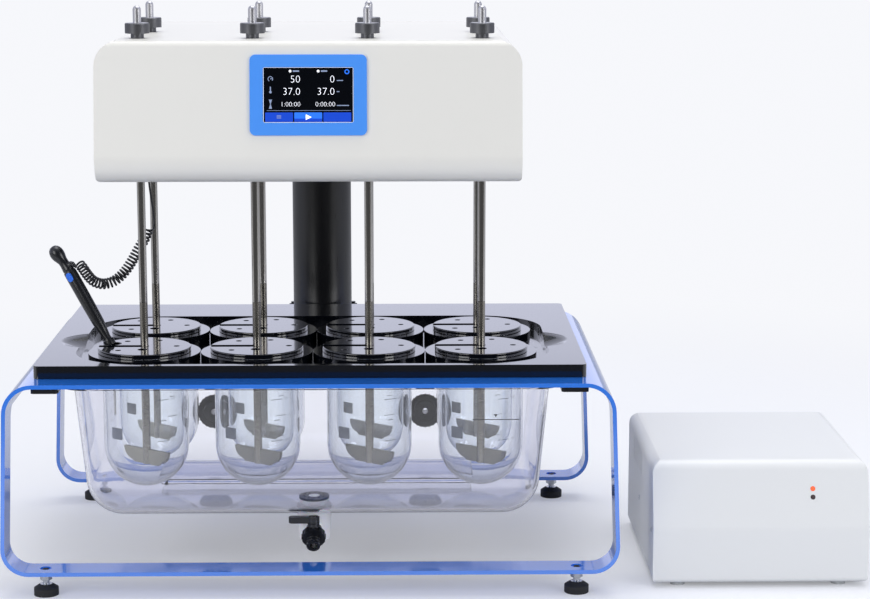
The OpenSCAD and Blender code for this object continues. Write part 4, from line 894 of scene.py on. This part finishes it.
class TESTER_OT_bath(Step, bpy.types.Operator):
    """Clear moulded bath with its raised floor, fill line, ports and drain"""

    bl_idname = "tester.bath"
    bl_label = "Water bath"

    # Outside of the bath under its rim, and the lean of its walls
    width = 580 * MM
    depth = 312 * MM
    draft = math.radians(5)
    # Raised floor: half its width, its front from the middle of the stations, and its height
    shelf_half = 202 * MM
    shelf_front = 9 * MM
    shelf_rise = 8 * MM
    # Fill line: ends and height; arrow over it: half its width, foot and top, all in millimetres
    mark = ((197, 254), 209)
    arrow = (2.2, 3, 6.5)
    # Ports: distance to each side and height, and how far their middle is before their rear end
    port_side = 143
    port_height = 152
    port_reach = 31 * MM
    # Drain: height of the dark strainer, radius of the boss, middle of the outlet's end from the valve's
    # lowest corner, and how far the outlet tilts down
    strainer_top = 3.1 * MM
    boss_radius = 22 * MM
    tip = (0, 4, 7.5)
    tilt = math.radians(28)

    def execute(self, context):
        low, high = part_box("water_bath")
        wall = sizes().bath_wall
        mid = (low + high) / 2
        rim_low = high.z - wall
        tall = rim_low - low.z
        fall = math.tan(self.draft) * tall
        bm = bmesh.new()
        block(bm, (-self.width / 2, -self.depth / 2, low.z), (self.width / 2, self.depth / 2, rim_low))
        for vert in bm.verts:
            if vert.co.z < mid.z:
                vert.co.x -= math.copysign(fall, vert.co.x)
                vert.co.y -= math.copysign(fall, vert.co.y)
        top = [face for face in bm.faces if face.normal.z > 0.9]
        bmesh.ops.delete(bm, geom=top, context="FACES_ONLY")
        inner = [edge for edge in bm.edges if len(edge.link_faces) == 2]
        rounded(bm, inner, sizes().bath_corner, 10)
        # Rim turned outwards
        lip = [edge for edge in bm.edges if edge.is_boundary]
        turned = bmesh.ops.extrude_edge_only(bm, edges=lip)["geom"]
        spread = Vector(((high.x - low.x) / self.width, (high.y - low.y) / self.depth, 1))
        bmesh.ops.scale(bm, vec=spread, verts=[v for v in turned if isinstance(v, bmesh.types.BMVert)])
        crease = [edge for edge in lip if edge.is_valid]
        rounded(bm, crease, wall, 3)
        bmesh.ops.translate(bm, vec=(mid.x, mid.y, 0), verts=bm.verts)
        bath = piece("bath_tank", bm, ["bath"], stands_for=["water_bath"], sharp=60)
        thick = bath.modifiers.new("Wall", "SOLIDIFY")
        thick.thickness = wall
        thick.offset = -1
        thick.use_even_offset = True
        soften(bath, 0.5 * MM, 2)
        self.shelf(low, high, mid)
        self.fill_line(high, mid)
        self.ports()
        self.drain()
        return {"FINISHED"}

    def shelf(self, low, high, mid):
        """Raised floor behind the sump."""
        bm = bmesh.new()
        back = mid.y + self.depth / 2 - math.tan(self.draft) * (high.z - low.z) - sizes().bath_corner
        foot = low.z + sizes().bath_wall + PROUD
        block(bm, (STATION_MIDDLE.x - self.shelf_half, STATION_MIDDLE.y + self.shelf_front, foot),
            (STATION_MIDDLE.x + self.shelf_half, back, foot + self.shelf_rise))
        upright = [edge for edge in bm.edges if abs(edge.verts[0].co.z - edge.verts[1].co.z) > MM]
        rounded(bm, upright, 6 * MM, 5)
        soften(piece("bath_shelf", bm, ["bath"]), 1.6 * MM, 3)

    def fill_line(self, high, mid):
        """Printed line on the front wall up to which the bath is filled, with a short arrow above it."""
        (left, right), height = self.mark
        half, foot, top = self.arrow
        front = mid.y - self.depth / 2 + math.tan(self.draft) * (high.z - height * MM)
        lean = Matrix.Translation((STATION_MIDDLE.x, front - PROUD, height * MM)) \
            @ Matrix.Rotation(-self.draft, 4, "X")
        bm = bmesh.new()
        block(bm, (left * MM, -PROUD, -0.5 * MM), (right * MM, 0, 0.5 * MM), lean)
        middle_x = (left + right) / 2 * MM
        arrow = block(bm, (middle_x - half * MM, -PROUD, foot * MM), (middle_x + half * MM, 0, top * MM),
            lean)
        axis = STATION_MIDDLE.x + middle_x
        for vert in arrow:
            if vert.co.z < (height + (foot + top) / 2) * MM:
                vert.co.x = axis + (vert.co.x - axis) * 0.08
        piece("bath_fill_line", bm, ["print"])

    def ports(self):
        """Two bulkhead fittings through the rear wall: flange, ribbed ring, nut and hose tail."""
        bm = bmesh.new()
        for side in (-1, 1):
            spot = place(self.port_side * side, 0, self.port_height)
            spot.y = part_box("bath_ports")[1].y - self.port_reach
            turn = Matrix.Translation(spot) @ Matrix.Rotation(math.radians(-90) - self.draft, 4, "X")
            # Inside the bath: stepped flange with a bore and a ring of ribs
            spun(bm, [(4, -12.2), (14.2, -12.2), (15, -11.4), (15, -9.4), (20.8, -9.4), (22.4, -8),
                (22.5, -4.4), (11, -4.4), (11, 0.2), (17, 0.2), (17, 7.6), (16, 8.2), (7, 8.2), (7, 31.5),
                (6.2, 32.8), (4, 32.8)], 48, turn @ IN_MM)
            for i in range(24):
                rib = turn @ Matrix.Rotation(math.tau * i / 24, 4, "Z")
                block(bm, (21.6 * MM, -0.9 * MM, -9 * MM), (23.1 * MM, 0.9 * MM, -5 * MM), rib)
            for i in range(12):
                rib = turn @ Matrix.Rotation(math.tau * i / 12, 4, "Z")
                block(bm, (16.2 * MM, -2.2 * MM, 0.6 * MM), (18 * MM, 2.2 * MM, 7.6 * MM), rib)
            # Barbs of the hose tail
            for i in range(3):
                z = 17 + 5 * i
                spun(bm, [(6.4, z), (7.9, z), (7, z + 4), (6.4, z + 4)], 32, turn @ IN_MM)
        soften(piece("bath_unions", bm, ["black"], stands_for=["bath_ports"]),
            0.4 * MM, 2)

    def drain(self):
        """Milky valve body under the sump with its black strainer, outlet and lever."""
        low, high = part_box("drain_valve")
        axis = Vector(((low.x + high.x) / 2, high.y - self.boss_radius, 0))

        def paint(spot):
            inside = (spot - axis).to_2d().length < self.boss_radius + 0.2 * MM
            return 0 if inside and spot.z < high.z - self.strainer_top else 1

        # The milky body's faint glow is painted light
        dressed("drain_outlet", "drain_valve", ["frosted", "black"], 0.5 * MM,
            paint=paint)
        # Grips round the outlet's nut and the screws of the lever's neck
        tip = Vector((axis.x, low.y, low.z)) + Vector(self.tip) * MM
        way = Matrix.Translation(tip) @ Matrix.Rotation(self.tilt - math.pi / 2, 4, "X")
        bm = bmesh.new()
        for i in range(14):
            block(bm, (14.1 * MM, -1.5 * MM, 13.8 * MM), (15.2 * MM, 1.5 * MM, 21.2 * MM),
                way @ Matrix.Rotation(math.tau * i / 14, 4, "Z"))
        for z in (3, 7.5):
            spun(bm, [(8.4, z), (9.3, z + 0.4), (9.3, z + 1), (8.4, z + 2.6)], 40, way @ IN_MM)
        soften(piece("drain_grips", bm, ["black"]), 0.3 * MM, 2)
        dressed("drain_handle", "drain_lever", ["black"], 1.1 * MM, "drain_lever")
        lever_low, lever_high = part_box("drain_lever")
        bm = bmesh.new()
        for i in range(3):
            stud = Matrix.Translation((lever_high.x - (3.4 + 4.1 * i) * MM, (lever_low.y + lever_high.y) / 2,
                lever_high.z)) @ IN_MM
            spun(bm, [(0, -0.4), (1.5, -0.4), (1.5, 0.7), (1.1, 1), (0, 1)], 20, stud)
        piece("drain_studs", bm, ["black"], "drain_lever")


# Vessel plate, vessels and lids

VESSEL_BORE = 102 * MM
# Writing patch: angle from the front, size and height; angle of the volume marks
PATCH_TURN = math.radians(-36)
PATCH_SIZE = (17, 14.5)
PATCH_HEIGHT = 186
MARK_TURN = math.radians(30)
# Marks round a vessel: height, half width in millimetres and figures, smallest volume first
VESSEL_MARKS = [(150, 4, ""), (177, 8, "300"), (203, 4, ""), (229, 8, "500")]
VESSEL_STEPS = 96


def wrap(verts, centre, radius):
    """Bends flat marks, drawn in X and Z about the origin, round the front of a vertical cylinder."""
    for vert in verts:
        turn = vert.co.x / radius
        reach = radius - vert.co.y
        vert.co = centre + Vector((reach * math.sin(turn), -reach * math.cos(turn), vert.co.z))


class TESTER_OT_vessels(Step, bpy.types.Operator):
    """Eight round-bottomed glass vessels with their fired marks"""

    bl_idname = "tester.vessels"
    bl_label = "Vessels"

    def execute(self, context):
        for n in STATIONS:
            self.vessel(n)
            self.marks(n)
        return {"FINISHED"}

    def vessel(self, n):
        low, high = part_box(f"vessel_{n}")
        wall = sizes().vessel_wall
        rim = sizes().vessel_rim
        rim_radius = (high.x - low.x) / 2
        outer = VESSEL_BORE / 2 + wall
        bowl = low.z + outer
        soft = rim / 2
        neck = 4 * MM
        outline = arc(0, bowl, outer, -90, 0, 20)
        outline += [(outer, (bowl + high.z) / 2), (outer, high.z - rim - neck)]
        outline += arc(outer + neck, high.z - rim - neck, neck, 180, 90, 4)
        outline += arc(rim_radius - soft, high.z - soft, soft, -90, 90, 6)
        outline += arc(outer - wall + soft, high.z - soft, soft, 90, 180, 4)
        outline += [(outer - wall, (bowl + high.z) / 2)] + arc(0, bowl, outer - wall, 0, -90, 20)
        outline[0] = (0, outline[0][1])
        outline[-1] = (0, outline[-1][1])
        bm = bmesh.new()
        spot = (low + high) / 2
        spun(bm, outline, VESSEL_STEPS, Matrix.Translation((spot.x, spot.y, 0)))
        piece(f"glass_{n}", bm, ["glass"], stands_for=[f"vessel_{n}"], sharp=60)

    def marks(self, n):
        """Frosted writing patch on the left, volume marks on the right."""
        spot = middle(f"vessel_{n}")
        spot.z = 0
        radius = VESSEL_BORE / 2 + sizes().vessel_wall + PROUD
        thin = 0.06 * MM
        bm = bmesh.new()
        wide, tall = (s * MM for s in PATCH_SIZE)
        block(bm, (-wide / 2, -thin, PATCH_HEIGHT * MM - tall / 2),
            (wide / 2, 0, PATCH_HEIGHT * MM + tall / 2))
        upright = [e for e in bm.edges if abs(e.verts[0].co.y - e.verts[1].co.y) > thin / 2]
        rounded(bm, upright, 1.2 * MM, 3)
        for share in range(-4, 5):
            bmesh.ops.bisect_plane(bm, geom=bm.verts[:] + bm.edges[:] + bm.faces[:],
                plane_co=(share * wide / 10, 0, 0), plane_no=(1, 0, 0))
        bmesh.ops.translate(bm, vec=(PATCH_TURN * radius, 0, 0), verts=bm.verts)
        for height, half, figures in VESSEL_MARKS:
            middle_x = MARK_TURN * radius
            start = len(bm.verts)
            block(bm, (middle_x - half * MM, -thin, (height - 0.35) * MM),
                (middle_x + half * MM, 0, (height + 0.35) * MM))
            bm.verts.ensure_lookup_table()
            line = bm.verts[start:]
            geom = line + each_once(e for v in line for e in v.link_edges) \
                + each_once(f for v in line for f in v.link_faces)
            for share in (-1, 0, 1):
                cut = bmesh.ops.bisect_plane(bm, geom=geom, plane_co=(middle_x + share * half * MM / 2, 0, 0),
                    plane_no=(1, 0, 0))
                geom = cut["geom"]
            if figures:
                lettering(bm, figures, 3.2 * MM, Matrix.Translation((middle_x + 11 * MM, 0,
                    (height - 1.6) * MM)) @ Matrix.Rotation(math.pi / 2, 4, "X"), 0, "LEFT", thin / 2)
        wrap(bm.verts, spot, radius)
        piece(f"marks_{n}", bm, ["mark"])


class TESTER_OT_deck(Step, bpy.types.Operator):
    """Glossy vessel plate and the eight lids"""

    bl_idname = "tester.deck"
    bl_label = "Deck and lids"

    def execute(self, context):
        dressed("deck", "vessel_plate", ["deck"], 0.8 * MM)
        for n in STATIONS:
            dressed(f"cover_{n}", f"lid_{n}", ["deck"], 0.5 * MM, f"lid_{n}")
        return {"FINISHED"}


# Paddles and spindles


class TESTER_OT_spindles(Step, bpy.types.Operator):
    """Paddles, shafts, caps and pulleys"""

    bl_idname = "tester.spindles"
    bl_label = "Paddles and spindles"

    # Radius within which a face is the shaft's, and how far under the head's top the caps begin
    shaft = 5.1 * MM
    cap_drop = 20 * MM

    def execute(self, context):
        head_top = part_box("head_cover")[1].z
        for n in STATIONS:
            axis = middle(f"vessel_{n}").to_2d()

            def blade(spot, axis=axis):
                return 1 if (spot.to_2d() - axis).length > self.shaft else 0

            def turned(spot, axis=axis):
                if (spot.to_2d() - axis).length < self.shaft:
                    return 3 if spot.z > head_top else 0
                return 1 if spot.z > head_top - self.cap_drop else 2

            dressed(f"stirrer_{n}", f"paddle_{n}", ["paddle", "blade"],
                sizes().turned_edge, f"spindle_{n}", blade)
            dressed(f"shaft_{n}", f"spindle_{n}", ["shaft", "cap", "aluminium", "tip"],
                sizes().turned_edge, f"spindle_{n}", turned)
        return {"FINISHED"}


# Head

# Height of the display's glass as a share of its width, and thickness of what it shows
SCREEN_SHAPE = 66.5 / 108.5
SIGN_THICK = 0.06 * MM
# Places on the screen are shares of its width and height from its middle
FIGURES = [("50", -0.085, 0.222, 9.2), ("37.0", -0.085, 0, 9.2), ("1:00:00", -0.085, -0.208, 6),
    ("0", 0.295, 0.222, 9.2), ("37.0", 0.295, 0, 9.2), ("0:00:00", 0.3, -0.208, 6)]


class TESTER_OT_head(Step, bpy.types.Operator):
    """Cover, bezel and lit display of the drive head"""

    bl_idname = "tester.head"
    bl_label = "Drive head"

    def execute(self, context):
        dressed("head_shell", "head_cover", ["head coat"], sizes().cover_edge, "head")
        dressed("display_frame", "display_bezel", ["bezel"], 1.2 * MM, "head")
        dressed("display_glass", "touchscreen", ["screen"], 0.4 * MM, "head")
        self.display()
        return {"FINISHED"}

    def display(self):
        """What the lit display shows: set and actual values, plain signs and three buttons."""
        plane = facing("touchscreen")
        low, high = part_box("touchscreen")
        wide = high.x - low.x
        tall = wide * SCREEN_SHAPE
        white = lit("Display white", "#F4F6FF", 0.9)
        dim = lit("Display grey", "#7E8CA8", 0.5)
        blue = lit("Display blue", "#0842C2", 0.35)
        bright = lit("Display bright blue", "#2470EA", 0.4)
        front = plane @ Matrix.Translation((0, 0, PROUD))
        bm = bmesh.new()
        for words, x, y, height in FIGURES:
            lettering(bm, words, height * MM, front @ Matrix.Translation((x * wide, y * tall, 0)), 0)

        def bar(x0, y0, x1, y1, material, z=0.0):
            return block(bm, (x0 * wide, y0 * tall, z), (x1 * wide, y1 * tall, z + SIGN_THICK), front,
                material)

        def disc(x, y, radius, material, hole=0.0):
            outline = [(hole, 0), (radius * MM, 0), (radius * MM, SIGN_THICK), (hole, SIGN_THICK)]
            spun(bm, outline, 24, front @ Matrix.Translation((x * wide, y * tall, 0)), material)

        # Signs over the two columns and units beside the figures
        for x in (-0.2, 0.11):
            disc(x, 0.43, 1.5, 0)
            bar(x + 0.03, 0.417, x + 0.1, 0.443, 1)
        for y, reach in ((0.26, 0.385), (0.06, 0.345), (-0.19, 0.45)):
            bar(0.315, y - 0.008, reach, y + 0.008, 1)
        # Speed, temperature and time
        disc(-0.418, 0.29, 3.2, 1, hole=2.4 * MM)
        bar(-0.43, 0.19, -0.376, 0.262, 4, 0.03 * MM)
        bar(-0.419, 0.286, -0.4, 0.3, 1, 0.03 * MM)
        bar(-0.424, 0.07, -0.412, 0.15, 1)
        disc(-0.418, 0.052, 1.5, 1)
        for flip in (-1, 1):
            glass = bar(-0.44, -0.165 - 0.04, -0.396, -0.165 + 0.04, 1)
            for vert in glass:
                local = front.inverted() @ vert.co
                up = (local.y / tall + 0.165) / 0.04 * flip
                local.y += flip * 0.042 * tall
                local.x = -0.418 * wide + (local.x + 0.418 * wide) * (0.15 if up < 0 else 0.8)
                vert.co = front @ local
        disc(0.428, 0.418, 3, 3, hole=1.7 * MM)
        bar(-0.46, -0.284, 0.47, -0.278, 1)
        # Painted highlight of the bezel's inner rim: a thin pale glowing line round the glass
        for x0, y0, x1, y1 in ((-0.499, -0.498, 0.499, -0.491), (-0.499, 0.492, 0.499, 0.498),
                (-0.499, -0.498, -0.494, 0.498), (0.494, -0.498, 0.499, 0.498)):
            bar(x0, y0, x1, y1, 5)
        # Buttons
        for i, material in enumerate((2, 3, 2)):
            x0 = -0.477 + i * 0.322
            button = bar(x0, -0.485, x0 + 0.308, -0.315, material)
            sides = each_once(e for v in button for e in v.link_edges
                if abs((front.inverted() @ e.verts[0].co - front.inverted() @ e.verts[1].co).z) > 0.01 * MM)
            rounded(bm, sides, 0.9 * MM, 4)
        bar(-0.155, -0.485, 0.153, -0.425, 2, 0.04 * MM)
        for i in range(3):
            bar(-0.35, -0.378 - 0.022 * i, -0.30, -0.368 - 0.022 * i, 1, 0.05 * MM)
        start = bar(-0.028, -0.45, 0.034, -0.35, 0, 0.08 * MM)
        for vert in start:
            local = front.inverted() @ vert.co
            if local.x > 0:
                local.y = -0.4 * tall + (local.y + 0.4 * tall) * 0.05
                vert.co = front @ local
        # The last material glows as the painted highlight round the glass
        materials = [white, dim, blue, bright, "screen", lit("Pale gasket", "#DDE8FF", 0.5)]
        piece("display_figures", bm, materials, "head")


class TESTER_OT_drive(Step, bpy.types.Operator):
    """Chassis, bearings, motor, belt, column and lift"""

    bl_idname = "tester.drive"
    bl_label = "Drive and column"

    def execute(self, context):
        dressed("column_shell", "column_tube", ["column"], sizes().turned_edge)
        dressed("head_floor", "head_chassis", ["aluminium"],
            sizes().turned_edge, "head")
        coat(spindle_bearings="drawn", drive_motor="motor", motor_pulley="aluminium", drive_belt="belt",
            lift_column="drawn", lift_actuator="aluminium")
        return {"FINISHED"}


# Heater


class TESTER_OT_heater(Step, bpy.types.Operator):
    """Water heater: case with two lamps and side vents, base and inner unit"""

    bl_idname = "tester.heater"
    bl_label = "Heater"

    # Side screws: distance from the middle of the stations and height, in millimetres
    screws = [(-4, 72), (-141, 68)]
    # Outline of a screw's head with its socket: radius and height in millimetres
    screw_outline = [(0, 0.2), (1.3, 0.2), (1.5, 0.48), (2.6, 0.42), (3.4, 0.26), (3.7, 0), (0, 0)]
    # Lamps: distance from the case's left side, heights, and reach of their faces from their middle
    lamp_side = 197
    lamp_heights = (112, 122)
    lamp_reach = (4.4 * MM, 3.05 * MM)
    # The case's front leans back by a distance from one height over another
    front_lean, front_fold, front_rise = 19, 70, 86

    def execute(self, context):
        lamps = [self.lamp(z) for z in self.lamp_heights]
        reach, side = self.lamp_reach

        def paint(spot):
            for number, lamp in enumerate(lamps):
                if (spot - lamp).length < reach and abs(spot.x - lamp.x) < side:
                    return number + 1
            return 0

        dressed("heater_shell", "heater_case", ["heater coat", lamp_lens("Dark lamp lens", "#3B2A2C", 0.05),
            lamp_lens("Orange lamp lens", "#F0683A", 0.35)], 0.5 * MM, paint=paint)
        coat(heater_base="base", heater_unit="hose")
        self.side_screws()
        return {"FINISHED"}

    def lamp(self, height):
        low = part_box("heater_case")[0]
        back = self.front_lean * MM * (height - self.front_fold) / self.front_rise
        return Vector((low.x + self.lamp_side * MM, low.y + back, height * MM))

    def side_screws(self):
        low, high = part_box("heater_case")
        bm = bmesh.new()
        for side, edge in ((-1, low.x), (1, high.x)):
            for y, z in self.screws:
                spot = place(0, y, z)
                spot.x = edge
                turn = Matrix.Translation(spot) @ Matrix.Rotation(side * math.pi / 2, 4, "Y") @ IN_MM
                spun(bm, self.screw_outline, 28, turn)
        piece("heater_screws", bm, ["zinc"])


STEPS = [TESTER_OT_stage, TESTER_OT_cord, TESTER_OT_probe, TESTER_OT_stand, TESTER_OT_bath,
    TESTER_OT_vessels, TESTER_OT_deck, TESTER_OT_spindles, TESTER_OT_head, TESTER_OT_drive,
    TESTER_OT_heater]


class TESTER_PT_pieces(bpy.types.Panel):
    """Lists the pieces, their sizes and their colours"""

    bl_idname = "TESTER_PT_pieces"
    bl_label = "Dissolution tester"
    bl_space_type = "VIEW_3D"
    bl_region_type = "UI"
    bl_category = "Tester"

    def draw(self, context):
        column = self.layout.column(align=True)
        for step in STEPS:
            column.operator(step.bl_idname)
        for group in (context.scene.tester_sizes, context.scene.tester_colours):
            fields = self.layout.column(align=True)
            for name in group.__annotations__:
                fields.prop(group, name)


CLASSES = [TesterSizes, TesterColours, *STEPS, TESTER_PT_pieces]


def register():
    for one in CLASSES:
        bpy.utils.register_class(one)
    bpy.types.Scene.tester_sizes = PointerProperty(type=TesterSizes)
    bpy.types.Scene.tester_colours = PointerProperty(type=TesterColours)


def unregister():
    del bpy.types.Scene.tester_colours
    del bpy.types.Scene.tester_sizes
    for one in reversed(CLASSES):
        bpy.utils.unregister_class(one)


def main():
    register()
    bpy.ops.tester.stage()
    bpy.ops.tester.cord()
    bpy.ops.tester.probe()
    bpy.ops.tester.stand()
    bpy.ops.tester.bath()
    bpy.ops.tester.vessels()
    bpy.ops.tester.deck()
    bpy.ops.tester.spindles()
    bpy.ops.tester.head()
    bpy.ops.tester.drive()
    bpy.ops.tester.heater()


if __name__ == "__main__":
    main()
